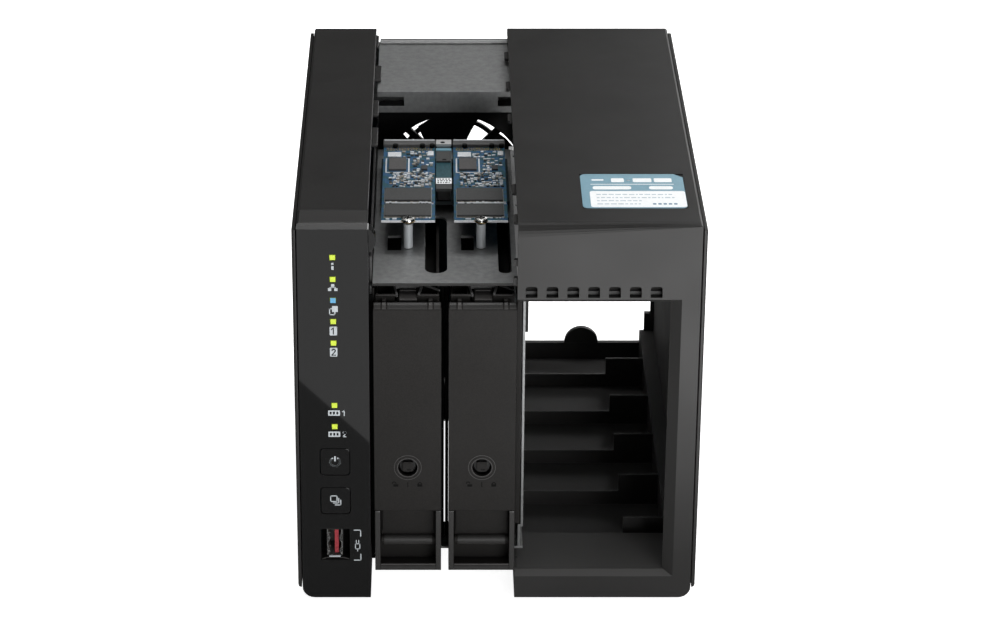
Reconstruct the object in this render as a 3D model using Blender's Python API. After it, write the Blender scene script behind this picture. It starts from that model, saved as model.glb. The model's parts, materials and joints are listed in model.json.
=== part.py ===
"""A two-bay network attached storage box with its cover pulled off to the right.

Everything below is in case millimetres: x runs right from the outer face of the left
housing, y runs back from the front face, and z runs up from the underside of the case.
place() turns them into the part's own frame, in metres.
"""
import math

import bpy
import bmesh
from mathutils import Matrix, Vector

MM = 0.001

# ---------------------------------------------------------------- driving dimensions
CLOSED_WIDTH = 105.0
CASE_DEPTH = 226.0
CASE_HEIGHT = 168.0
HOUSING_WIDTH = 30.1
COVER_PULL = 59.4
FOOT_HEIGHT = 2.5
OPEN_WIDTH = CLOSED_WIDTH + COVER_PULL

WALL = 2.2
GAP = 0.3
SIDE_PANEL = 1.5
SIDE_PANEL_TOP = CASE_HEIGHT - 2.0
SIDE_PANEL_BOTTOM = 4.5
BODY_LEFT = SIDE_PANEL + GAP
BODY_RIGHT = OPEN_WIDTH - SIDE_PANEL - GAP
PANEL_SETBACK = 0.6
COVER_LEFT = HOUSING_WIDTH + COVER_PULL
BOTTOM_CORNER = 5.0
FRONT_CAP_DEPTH = 16.0
INNER_TOP = CASE_HEIGHT - WALL
TAB_CEILING = CASE_HEIGHT - 1.2
BROW_RUN = 3.6
BROW_DROP = 1.4
FOOT_RADIUS = 7.0
FOOT_SPOTS = (("front", 26.0), ("rear", 200.0))

# chassis
STEEL = 1.0
THIN_STEEL = 0.8
JOGGLE = 1.2
CAGE_FRONT = 10.5
CAGE_BACK = 200.0
CAGE_LEFT = 30.5
CAGE_RIGHT = 93.1
SHELF_TOP = 138.6
FLOOR_TOP = 18.4
REAR_PANEL_FRONT = 219.5
REAR_PANEL_BACK = 220.7
REAR_PANEL_RIGHT = 100.9
TOP_PLATE_FRONT = 158.0
TOP_PLATE_BACK = 218.9
TOP_PLATE_HIGH = 163.4

# trays
TRAY_WIDTH = 27.2
TRAY_LEFTS = (32.0, 62.2)
TRAY_BOTTOM = 12.8
TRAY_TOP = 134.0
PLATE_BOTTOM = 40.7
PLATE_TOP = 132.3
PLATE_THICKNESS = 1.8
HINGE_Y = 2.9
HINGE_Z = 130.8
HINGE_RADIUS = 2.6
BULKHEAD_FRONT = 8.0
BULKHEAD_BACK = 9.5
RAIL_BACK = 155.0
LOCK_Z = 60.8
DRIVE_HEIGHT = 25.4
DRIVE_WIDTH = 101.6
DRIVE_LENGTH = 147.0
DRIVE_FRONT = 11.0
DRIVE_BOTTOM = 20.6

# solid-state drives on the shelf
SSD_WIDTH = 22.0
SSD_FRONT = 45.6
SSD_BACK = 124.6
SSD_TOP = 150.6
SSD_CENTRES = (45.7, 75.5)

# fan
FAN_X = 65.0
FAN_Z = 101.0
FAN_HALF = 34.5
FAN_BORE = 33.0
FAN_FRONT = 204.0
FAN_BACK = 219.0
FAN_MIDDLE = 210.5
HUB_RADIUS = 14.0
BLADE_COUNT = 5
BLADE_HALF_WIDTH = 11.5
BLADE_LEAN = 30
GUARD_Y = 222.4

# controls on the front panel
BUTTON_X = 16.0
BUTTON_HALF_WIDTH = 6.2
POWER_Z = 63.4
COPY_Z = 45.5
BUTTON_HALF_HEIGHT = 6.3
LIGHT_X = 16.1
LIGHT_HEIGHTS = (154.5, 145.0, 135.8, 126.5, 117.0, 89.1, 79.5)
USB_LOW = (12.2, 1.0, 19.2)
USB_HIGH = (18.6, 14.0, 32.2)

# sockets and reset button at the rear
REAR_PORTS = {
    "dc_inlet": ((12.0, 206.0, 9.0), (22.0, 221.4, 19.0)),
    "lan_port_1": ((9.0, 202.0, 26.0), (25.0, 221.4, 40.0)),
    "lan_port_2": ((9.0, 202.0, 45.0), (25.0, 221.4, 59.0)),
    "rear_usb_ports": ((9.5, 204.0, 65.0), (24.5, 221.4, 81.0)),
    "hdmi_port": ((14.0, 208.0, 87.0), (20.0, 221.4, 102.0)),
}
RESET_X = 17.0
RESET_Z = 112.0

# cover
BEZEL = 3.2
COVER_OPENING_RIGHT = 150.7
COVER_OPENING_BOTTOM = 12.3
COVER_OPENING_TOP = TRAY_TOP
COVER_STEP_LEFT = 153.7
COVER_STEP_TOP = 17.0
COVER_REAR_LIP = (222.6, 225.2)
VENT_COUNT = 7
VENT_FIRST = 95.05
VENT_PITCH = 8.28
LABEL_LOW = (115.7, 18.1)
LABEL_HIGH = (157.5, 53.3)
COVER_RIB_PITCH = 38.5
COVER_RIB_FRONT = 38.9
RIB_COUNT = 5

COLOURS = {
    "black_shell": ((0.022, 0.021, 0.020), 0.0, 0.45),
    "black_gloss": ((0.012, 0.012, 0.012), 0.0, 0.12),
    "dark_plastic": ((0.028, 0.027, 0.026), 0.0, 0.50),
    "steel": ((0.55, 0.56, 0.56), 1.0, 0.38),
    "board_blue": ((0.02, 0.13, 0.30), 0.0, 0.40),
    "board_teal": ((0.03, 0.17, 0.20), 0.0, 0.45),
    "connector_black": ((0.010, 0.010, 0.010), 0.0, 0.40),
    "light_pipe": ((0.60, 0.72, 0.05), 0.0, 0.25),
    "usb_red": ((0.45, 0.03, 0.04), 0.0, 0.35),
    "label": ((0.35, 0.52, 0.62), 0.0, 0.45),
    "rubber": ((0.015, 0.015, 0.015), 0.0, 0.85),
    "drive_metal": ((0.42, 0.43, 0.45), 1.0, 0.35),
}


# ---------------------------------------------------------------- scene helpers
def clear_scene():
    for item in list(bpy.data.objects):
        bpy.data.objects.remove(item, do_unlink=True)


def new_collection(name):
    collection = bpy.data.collections.new(name)
    bpy.context.scene.collection.children.link(collection)
    return collection


def make_material(name):
    colour, metallic, roughness = COLOURS[name]
    material = bpy.data.materials.new(name)
    material.use_nodes = True
    shader = material.node_tree.nodes["Principled BSDF"]
    shader.inputs["Base Color"].default_value = (*colour, 1.0)
    shader.inputs["Metallic"].default_value = metallic
    shader.inputs["Roughness"].default_value = roughness
    material.diffuse_color = (*colour, 1.0)
    return material


def place(x, y, z):
    """The part-frame position, in metres, of a point in case millimetres."""
    return Vector((x - OPEN_WIDTH / 2, y - CASE_DEPTH / 2, z + FOOT_HEIGHT)) * MM


def finish_mesh(bm, name, location):
    mesh = bpy.data.meshes.new(name)
    bm.to_mesh(mesh)
    bm.free()
    mesh.shade_smooth()
    mesh.set_sharp_from_angle(angle=math.radians(32))
    solid = bpy.data.objects.new(name, mesh)
    solid.location = location
    tools.objects.link(solid)
    return solid


# ---------------------------------------------------------------- primitives
def edge_runs_at(edge, axis, first_sign, second_sign, half):
    """True when a box edge is parallel to axis and lies on the two named sides."""
    start, end = (vertex.co for vertex in edge.verts)
    others = [index for index in range(3) if index != axis]
    for index, sign in zip(others, (first_sign, second_sign)):
        for point in (start, end):
            if sign and abs(point[index] - sign * half[index]) > 1e-7:
                return False
            if not sign and abs(abs(point[index]) - half[index]) > 1e-7:
                return False
    return abs(start[axis] - end[axis]) > 1e-7


def block(low, high, rounding=(), turn=None):
    """A box between two corners; rounding lists (axis, sign, sign, radius, segments)."""
    size = (Vector(high) - Vector(low)) * MM
    half = size / 2
    bm = bmesh.new()
    bmesh.ops.create_cube(bm, size=1.0)
    bmesh.ops.scale(bm, vec=size, verts=bm.verts)
    for axis, first_sign, second_sign, radius, segments in rounding:
        index = "xyz".index(axis)
        edges = [e for e in bm.edges if edge_runs_at(e, index, first_sign, second_sign, half)]
        bmesh.ops.bevel(bm, geom=edges, offset=radius * MM, offset_type="OFFSET",
                        segments=segments, profile=0.5, affect="EDGES")
    solid = finish_mesh(bm, "block", place(*((a + b) / 2 for a, b in zip(low, high))))
    if turn:
        axis, degrees = turn
        solid.rotation_euler["xyz".index(axis)] = math.radians(degrees)
    return solid


def rod(centre, axis, radius, length, sides=24):
    """A cylinder about an axis, centred on a point."""
    bm = bmesh.new()
    bmesh.ops.create_cone(bm, cap_ends=True, segments=sides, radius1=radius * MM,
                          radius2=radius * MM, depth=length * MM)
    turns = {"x": Matrix.Rotation(math.pi / 2, 3, "Y"),
             "y": Matrix.Rotation(math.pi / 2, 3, "X"),
             "z": Matrix.Identity(3)}
    bmesh.ops.rotate(bm, cent=(0, 0, 0), matrix=turns[axis], verts=bm.verts)
    return finish_mesh(bm, "rod", place(*centre))


def flared_block(low, high, left, right, below, above):
    """A box whose front face is wider than its back face by the four amounts."""
    solid = block(low, high)
    for vertex in solid.data.vertices:
        if vertex.co.y > 0:
            continue
        vertex.co.x += right * MM if vertex.co.x > 0 else -left * MM
        vertex.co.z += above * MM if vertex.co.z > 0 else -below * MM
    return solid


def ring(centre, radius, wire, around=32, across=6):
    """A wire ring that faces along y: a small circle turned about the ring's own axis."""
    bm = bmesh.new()
    section = bmesh.ops.create_circle(bm, cap_ends=False, segments=across, radius=wire * MM,
                                      matrix=Matrix.Translation((radius * MM, 0, 0)))
    bmesh.ops.spin(bm, geom=section["verts"] + list(bm.edges), cent=(0, 0, 0),
                   axis=(0, 1, 0), dvec=(0, 0, 0), angle=2 * math.pi, steps=around,
                   use_merge=True, use_duplicate=False)
    bmesh.ops.remove_doubles(bm, verts=bm.verts, dist=1e-6)
    bmesh.ops.recalc_face_normals(bm, faces=bm.faces)
    return finish_mesh(bm, "ring", place(*centre))


# ---------------------------------------------------------------- assembly helpers
def attach(solid, others, operation):
    for other in others:
        modifier = solid.modifiers.new(operation.lower(), "BOOLEAN")
        modifier.operation = operation
        modifier.solver = "EXACT"
        modifier.object = other
        other.hide_render = True
        other.display_type = "WIRE"


def part(name, solid, colour, plus=(), minus=(), rejoin=()):
    """Name a solid as one sub-part: add pieces, cut pieces away, then add the last ones."""
    solid.name = name
    solid.data.name = name
    tools.objects.unlink(solid)
    parts.objects.link(solid)
    attach(solid, plus, "UNION")
    attach(solid, minus, "DIFFERENCE")
    attach(solid, rejoin, "UNION")
    solid.data.materials.append(materials[colour])
    return solid


def pivot(name, point, solids, parent=None):
    """An empty on a joint's axis, with the moving solids parented to it."""
    empty = bpy.data.objects.new(name, None)
    empty.location = place(*point)
    empty.empty_display_size = 10 * MM
    parts.objects.link(empty)
    bpy.context.view_layer.update()
    for solid in solids:
        solid.parent = empty
        solid.matrix_parent_inverse = empty.matrix_world.inverted()
    if parent:
        empty.parent = parent
        empty.matrix_parent_inverse = parent.matrix_world.inverted()
    return empty


# ---------------------------------------------------------------- left housing
def make_left_housing():
    back = CASE_DEPTH
    outer_edges = (("y", -1, -1, BOTTOM_CORNER, 6), ("y", -1, 1, 1.0, 2))
    shell = block((BODY_LEFT, FRONT_CAP_DEPTH + GAP, 0), (HOUSING_WIDTH, back, CASE_HEIGHT),
                  outer_edges)
    cavity = block((BODY_LEFT + WALL, FRONT_CAP_DEPTH - 1, WALL),
                   (HOUSING_WIDTH + 1, back + 1, INNER_TOP), (("y", -1, -1, 3.0, 4),))
    tab_slot = block((27.6, FRONT_CAP_DEPTH - 1, INNER_TOP - 1),
                     (HOUSING_WIDTH + 1, back + 1, TAB_CEILING))
    hooks = []
    hook_spots = ((210, 225, 31.2), (168, 186, 33.0), (126, 144, 32.4), (92, 112, 32.6))
    for start, end, reach in hook_spots:
        hooks.append(block((23.0, start, 163.9), (reach, end, 165.1), (("z", 1, 0, 0.8, 2),)))
        hooks.append(block((23.0, start, 164.5), (26.0, end, 166.5)))
    part("left_housing", shell, "black_shell", minus=(cavity, tab_slot), rejoin=hooks)

    panel = block((0, PANEL_SETBACK, SIDE_PANEL_BOTTOM),
                  (SIDE_PANEL, CASE_DEPTH - PANEL_SETBACK, SIDE_PANEL_TOP),
                  (("y", -1, -1, 1.2, 2), ("z", -1, -1, 0.8, 2)))
    part("left_side_panel", panel, "black_shell")

    for end, y in FOOT_SPOTS:
        foot = rod((15.0, y, -(FOOT_HEIGHT + GAP) / 2), "z", FOOT_RADIUS, FOOT_HEIGHT - GAP)
        part(f"housing_foot_{end}", foot, "rubber")


def make_front_panel():
    corner = (("y", -1, -1, BOTTOM_CORNER, 6), ("y", -1, 1, 1.0, 2), ("z", -1, -1, 1.2, 2))
    cap = block((BODY_LEFT, 0, 0), (HOUSING_WIDTH, FRONT_CAP_DEPTH, CASE_HEIGHT), corner)
    cavity = block((BODY_LEFT + 2.0, 2.0, 2.0),
                   (HOUSING_WIDTH + 1, FRONT_CAP_DEPTH + 1, CASE_HEIGHT - 2.0))
    tab_slot = block((27.6, 2.0, CASE_HEIGHT - 4),
                     (HOUSING_WIDTH + 1, FRONT_CAP_DEPTH + 1, TAB_CEILING))
    slope = math.atan2(BROW_DROP, BROW_RUN)
    brow_middle = CASE_HEIGHT - BROW_DROP / 2 + 5.0 / math.cos(slope)
    brow = block((-5, BROW_RUN / 2 - 10, brow_middle - 5), (40, BROW_RUN / 2 + 10, brow_middle + 5),
                 turn=("x", math.degrees(slope)))
    frame = block((8.4, 1.0, 16.2), (23.0, 8.0, 33.7))
    boss = rod((27.4, 8.0, 159.4), "y", 5.8, 6.0)
    boss_foot = block((22.5, 1.0, 156.5), (28.0, 9.0, 162.5))

    openings = [block((9.8, -1, 17.6), (21.6, 9, 32.3))]
    for z in (POWER_Z, COPY_Z):
        openings.append(block((BUTTON_X - BUTTON_HALF_WIDTH, -1, z - BUTTON_HALF_HEIGHT),
                              (BUTTON_X + BUTTON_HALF_WIDTH, 4, z + BUTTON_HALF_HEIGHT),
                              (("y", 0, 0, 1.6, 3),)))
    for z in LIGHT_HEIGHTS:
        openings.append(block((LIGHT_X - 1.25, -1, z - 1.25), (LIGHT_X + 1.25, 4, z + 1.25)))
    panel = part("front_panel", cap, "black_gloss", minus=(cavity, tab_slot, brow),
                 rejoin=(boss, boss_foot, frame))
    attach(panel, openings, "DIFFERENCE")


def make_front_controls():
    strip = block((LIGHT_X - 1.5, 4.0, LIGHT_HEIGHTS[-1] - 3),
                  (LIGHT_X + 1.5, 6.0, LIGHT_HEIGHTS[0] + 3))
    posts = [block((LIGHT_X - 0.95, 0.1, z - 0.95), (LIGHT_X + 0.95, 5.0, z + 0.95))
             for z in LIGHT_HEIGHTS]
    part("light_guide", strip, "light_pipe", plus=posts)

    for name, z in (("power_button", POWER_Z), ("copy_button", COPY_Z)):
        across = BUTTON_HALF_WIDTH - GAP
        up = BUTTON_HALF_HEIGHT - GAP
        cap = block((BUTTON_X - across, 0.1, z - up), (BUTTON_X + across, 3.0, z + up),
                    (("y", 0, 0, 1.4, 3),))
        stem = block((BUTTON_X - 1.2, 2.0, z - 1.2), (BUTTON_X + 1.2, 7.2, z + 1.2))
        button = part(name, cap, "black_gloss", plus=(stem,))
        pivot(f"{name}_slide", (BUTTON_X, 0.1, z), (button,))

    board = block((8.6, 8.6, 12.0), (20.4, 10.2, 158.0))
    port_slot = block((USB_LOW[0] - GAP, 8, USB_LOW[2] - GAP),
                      (USB_HIGH[0] + GAP, 11, USB_HIGH[2] + GAP))
    part("front_board", board, "board_teal", minus=(port_slot,))

    shell = block(USB_LOW, USB_HIGH, (("y", 0, 0, 0.6, 2),))
    socket = block((USB_LOW[0] + 0.5, 0, USB_LOW[2] + 0.5),
                   (USB_HIGH[0] - 0.5, 13.0, USB_HIGH[2] - 0.5))
    part("front_usb_port", shell, "steel", minus=(socket,))
    tongue = block((15.4, 1.8, USB_LOW[2] + 1.2), (17.0, 12.6, USB_HIGH[2] - 1.2))
    part("front_usb_tongue", tongue, "usb_red")


# ---------------------------------------------------------------- chassis
def make_cage():
    wall_top = SHELF_TOP - STEEL - GAP
    left = block((CAGE_LEFT, CAGE_FRONT, FLOOR_TOP + GAP), (CAGE_LEFT + THIN_STEEL, CAGE_BACK, wall_top))
    upper = block((CAGE_LEFT, 14.0, 130.0), (CAGE_LEFT + THIN_STEEL, 130.0, 150.5),
                  (("x", 0, 1, 4.0, 3),))
    windows = []
    for start in (35.0, 115.0):
        windows.append(block((CAGE_LEFT - 1, start, 40), (CAGE_LEFT + 2, start + 60, 112),
                             (("x", 0, 0, 6.0, 3),)))
    part("cage_left_wall", left, "steel", plus=(upper,), minus=windows)

    wall_front = CAGE_FRONT - 0.5
    right = block((CAGE_RIGHT - STEEL, wall_front, 28.0), (CAGE_RIGHT, CAGE_BACK, wall_top))
    fold = block((CAGE_RIGHT - STEEL - JOGGLE, wall_front, 28.0), (CAGE_RIGHT, CAGE_BACK, 29.0))
    lower = block((CAGE_RIGHT - STEEL - JOGGLE, wall_front, FLOOR_TOP + GAP),
                  (CAGE_RIGHT - JOGGLE, CAGE_BACK, 28.8))
    windows = []
    for start in (30.0, 84.0, 138.0):
        for low in (42.0, 88.0):
            windows.append(block((CAGE_RIGHT - 3, start, low), (CAGE_RIGHT + 1, start + 42, low + 34),
                                 (("x", 0, 0, 6.0, 3),)))
    part("cage_right_wall", right, "steel", plus=(fold, lower), minus=windows)

    shelf = block((CAGE_LEFT + 1.1, CAGE_FRONT, SHELF_TOP - STEEL), (CAGE_RIGHT, 152.0, SHELF_TOP))
    slots = []
    for start, end in ((52.6, 61.6), (82.4, 87.7)):
        radius = (end - start) / 2 - 0.01
        slots.append(block((start, 20.2, SHELF_TOP - 3), (end, 78.0, SHELF_TOP + 2),
                           (("z", 0, 0, radius, 5),)))
    for start, end in ((37.2, 42.9), (67.4, 72.6)):
        slots.append(block((start, 43.0, SHELF_TOP - 3), (end, 57.5, SHELF_TOP + 2)))
    part("cage_shelf", shelf, "steel", minus=slots)

    floor = block((CAGE_LEFT, CAGE_FRONT, FLOOR_TOP - STEEL), (CAGE_RIGHT, 203.0, FLOOR_TOP))
    windows = (block((36, 32, 15), (87, 127, 20), (("z", 0, 0, 5.0, 3),)),
               block((40, 175, 15), (85, 182, 20)))
    brackets = []
    for start in (40.0, 150.0):
        brackets.append(block((24.5, start, FLOOR_TOP - STEEL), (32.0, start + 30, FLOOR_TOP)))
        brackets.append(block((24.5, start, WALL + GAP), (25.5, start + 30, FLOOR_TOP)))
    part("cage_floor", floor, "steel", plus=brackets, minus=windows)


def make_guide_rails():
    for name, low_x, high_x, low_z in (("left_guide_rail", 31.6, 32.4, 19.0),
                                       ("right_guide_rail", 89.8, 91.7, 29.6)):
        post = block((low_x, 9.9, low_z), (high_x, 14.0, 136.8))
        top = block((low_x, 12.0, 125.0), (high_x, 150.0, 136.8))
        bottom = block((low_x, 12.0, low_z), (high_x, 150.0, low_z + 8.0))
        part(name, post, "dark_plastic", plus=(top, bottom))


def make_rear():
    panel = block((4.3, REAR_PANEL_FRONT, 4.6), (REAR_PANEL_RIGHT, REAR_PANEL_BACK, 163.4))
    holes = [rod((FAN_X, REAR_PANEL_BACK, FAN_Z), "y", FAN_BORE, 8.0, 40)]
    for low, high in REAR_PORTS.values():
        holes.append(block((low[0] - GAP, REAR_PANEL_FRONT - 2, low[2] - GAP),
                           (high[0] + GAP, REAR_PANEL_BACK + 2, high[2] + GAP)))
    holes.append(rod((RESET_X, REAR_PANEL_BACK, RESET_Z), "y", 1.8, 8.0, 16))
    for row in range(3):
        for column in range(5):
            start = 36.0 + column * 12.5
            holes.append(block((start, REAR_PANEL_FRONT - 2, 24.0 + row * 9.0),
                               (start + 9.0, REAR_PANEL_BACK + 2, 28.0 + row * 9.0)))
    step_left = COVER_STEP_LEFT - COVER_PULL
    holes.append(block((step_left - GAP, REAR_PANEL_FRONT - 1, 0),
                       (REAR_PANEL_RIGHT + 1, REAR_PANEL_BACK + 1, COVER_STEP_TOP + 0.6)))
    part("rear_panel", panel, "steel", minus=holes)

    left, right = 31.4, 99.5
    plate = block((left, TOP_PLATE_FRONT, TOP_PLATE_HIGH - THIN_STEEL),
                  (right, TOP_PLATE_BACK, TOP_PLATE_HIGH))
    front_flange = block((left, TOP_PLATE_FRONT, 153.6), (right, TOP_PLATE_FRONT + THIN_STEEL, 163.0))
    rear_flange = block((left, TOP_PLATE_BACK - THIN_STEEL, 145.0), (right, TOP_PLATE_BACK, 163.0))
    slots = (block((left - 1, TOP_PLATE_FRONT - 2, 156.6), (43.1, TOP_PLATE_FRONT + 2, 160.9)),
             block((84.3, TOP_PLATE_FRONT - 2, 156.6), (96.0, TOP_PLATE_FRONT + 2, 160.9)))
    part("rear_top_plate", plate, "steel", plus=(front_flange, rear_flange), minus=slots)


# ---------------------------------------------------------------- electronics
def make_boards():
    board = block((6.0, 22.0, 8.0), (7.6, 214.0, 160.0))
    part("mainboard", board, "board_teal")

    base = block((7.9, 78.0, 66.0), (10.6, 128.0, 116.0))
    fins = []
    for row in range(1, 7):
        low = 66.0 + row * 7.0
        fins.append(block((10.0, 78.0, low), (23.0, 128.0, low + 1.4)))
    part("heat_sink", base, "drive_metal", plus=fins)

    backplane = block((33.0, 165.8, 20.0), (90.0, 167.4, 132.0))
    vents = []
    for start in (36.0, 67.0):
        vents.append(block((start, 164, 84), (start + 20, 169, 124), (("y", 0, 0, 4.0, 3),)))
    part("backplane", backplane, "board_teal", minus=vents)
    for index, tray_left in enumerate(TRAY_LEFTS, 1):
        middle = tray_left + TRAY_WIDTH / 2
        body = block((middle - 4.0, 158.6, 30.0), (middle + 4.0, 165.5, 76.0))
        mouth = block((middle - 1.6, 157.6, 33.0), (middle + 1.6, 163.5, 73.0))
        part(f"sata_connector_{index}", body, "connector_black", minus=(mouth,))


def make_rear_ports():
    for name, (low, high) in REAR_PORTS.items():
        colour = "connector_black" if name == "dc_inlet" else "steel"
        body = block(low, high)
        if name == "dc_inlet":
            socket = (rod(((low[0] + high[0]) / 2, high[1], (low[2] + high[2]) / 2), "y", 3.2, 20.0),)
        elif name == "rear_usb_ports":
            middle = (low[2] + high[2]) / 2
            socket = [block((low[0] + 1, high[1] - 12, bottom), (high[0] - 1, high[1] + 1, top))
                      for bottom, top in ((low[2] + 1, middle - 1), (middle + 1, high[2] - 1))]
        else:
            socket = (block((low[0] + 1.5, high[1] - 12, low[2] + 1.5),
                            (high[0] - 1.5, high[1] + 1, high[2] - 1.5)),)
        part(name, body, colour, minus=socket)
    cap = rod((RESET_X, 218.0, RESET_Z), "y", 1.5, 5.0, 16)
    flange = rod((RESET_X, 216.2, RESET_Z), "y", 2.6, 1.4, 16)
    button = part("reset_button", cap, "connector_black", plus=(flange,))
    pivot("reset_button_slide", (RESET_X, 220.5, RESET_Z), (button,))


def make_solid_state_drives():
    carrier = block((33.6, 84.0, 141.2), (88.0, 131.0, 142.8))
    part("m2_carrier_board", carrier, "board_teal")
    for index, middle in enumerate(SSD_CENTRES, 1):
        half = SSD_WIDTH / 2
        board = block((middle - half, SSD_FRONT, SSD_TOP - 0.8), (middle + half, SSD_BACK, SSD_TOP))
        chips = [block((middle - 9.0, 97.5, SSD_TOP - 0.4), (middle - 0.8, 111.0, SSD_TOP + 1.2)),
                 block((middle - 9.8, 64.8, SSD_TOP - 0.4), (middle + 9.4, 77.5, SSD_TOP + 1.2)),
                 block((middle - 9.8, 48.9, SSD_TOP - 0.4), (middle + 9.4, 61.0, SSD_TOP + 1.2))]
        notch = rod((middle, SSD_FRONT, SSD_TOP), "z", 1.8, 6.0)
        part(f"m2_ssd_{index}", board, "board_blue", plus=chips, minus=(notch,))

        socket = block((middle - 11.2, SSD_BACK + GAP, 143.1), (middle + 11.2, 130.2, 152.0))
        part(f"m2_socket_{index}", socket, "connector_black")

        foot, top = SHELF_TOP + GAP, SSD_TOP - 1.1
        standoff = rod((middle, SSD_FRONT, (foot + top) / 2), "z", 1.9, top - foot)
        bore = rod((middle, SSD_FRONT, 148.0), "z", 1.3, 8.0, 16)
        part(f"m2_standoff_{index}", standoff, "steel", minus=(bore,))
        head = rod((middle, SSD_FRONT, SSD_TOP + 0.9), "z", 2.4, 1.2)
        shank = rod((middle, SSD_FRONT, 148.3), "z", 0.95, 6.0, 12)
        part(f"m2_screw_{index}", head, "steel", plus=(shank,))


# ---------------------------------------------------------------- fan
def make_fan():
    frame = block((FAN_X - FAN_HALF, FAN_FRONT, FAN_Z - FAN_HALF),
                  (FAN_X + FAN_HALF, FAN_BACK, FAN_Z + FAN_HALF), (("y", 0, 0, 3.0, 3),))
    bore = rod((FAN_X, (FAN_FRONT + FAN_BACK) / 2, FAN_Z), "y", FAN_BORE, 20.0, 48)
    hub = rod((FAN_X, FAN_BACK - 1.2, FAN_Z), "y", HUB_RADIUS, 2.2, 28)
    half = FAN_BORE + 1.0
    struts = []
    for turn in (45, -45):
        struts.append(block((FAN_X - half, FAN_BACK - 2.2, FAN_Z - 1.5),
                            (FAN_X + half, FAN_BACK - 0.2, FAN_Z + 1.5), turn=("y", turn)))
    part("fan_frame", frame, "connector_black", minus=(bore,), rejoin=[hub] + struts)

    spindle = rod((FAN_X, FAN_MIDDLE, FAN_Z), "y", HUB_RADIUS, 11.0, 28)
    centre = Matrix.Translation(place(FAN_X, FAN_MIDDLE, FAN_Z))
    root, tip = 12.0, 31.5
    blades = []
    for index in range(BLADE_COUNT):
        blade = block((FAN_X - BLADE_HALF_WIDTH, FAN_MIDDLE - 0.6, FAN_Z + root),
                      (FAN_X + BLADE_HALF_WIDTH, FAN_MIDDLE + 0.6, FAN_Z + tip),
                      (("y", 1, 1, 5.0, 3), ("y", -1, 1, 2.0, 2)))
        turn = Matrix.Rotation(2 * math.pi * index / BLADE_COUNT, 4, "Y")
        lean = Matrix.Rotation(math.radians(BLADE_LEAN), 4, "Z")
        reach = Matrix.Translation((0, 0, (root + tip) / 2 * MM))
        blade.matrix_world = centre @ turn @ reach @ lean
        blades.append(blade)
    rotor = part("fan_rotor", spindle, "connector_black", plus=blades)
    pivot("fan_spin", (FAN_X, FAN_MIDDLE, FAN_Z), (rotor,))

    rings = [ring((FAN_X, GUARD_Y, FAN_Z), radius, 0.8) for radius in (10.0, 20.0, 30.0)]
    spokes = []
    for turn in (0, 60, 120):
        spokes.append(block((FAN_X - 33.5, GUARD_Y - 0.7, FAN_Z - 0.8),
                            (FAN_X + 33.5, GUARD_Y + 0.7, FAN_Z + 0.8), turn=("y", turn)))
    part("fan_guard", spokes[0], "steel", plus=spokes[1:] + rings)


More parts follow.
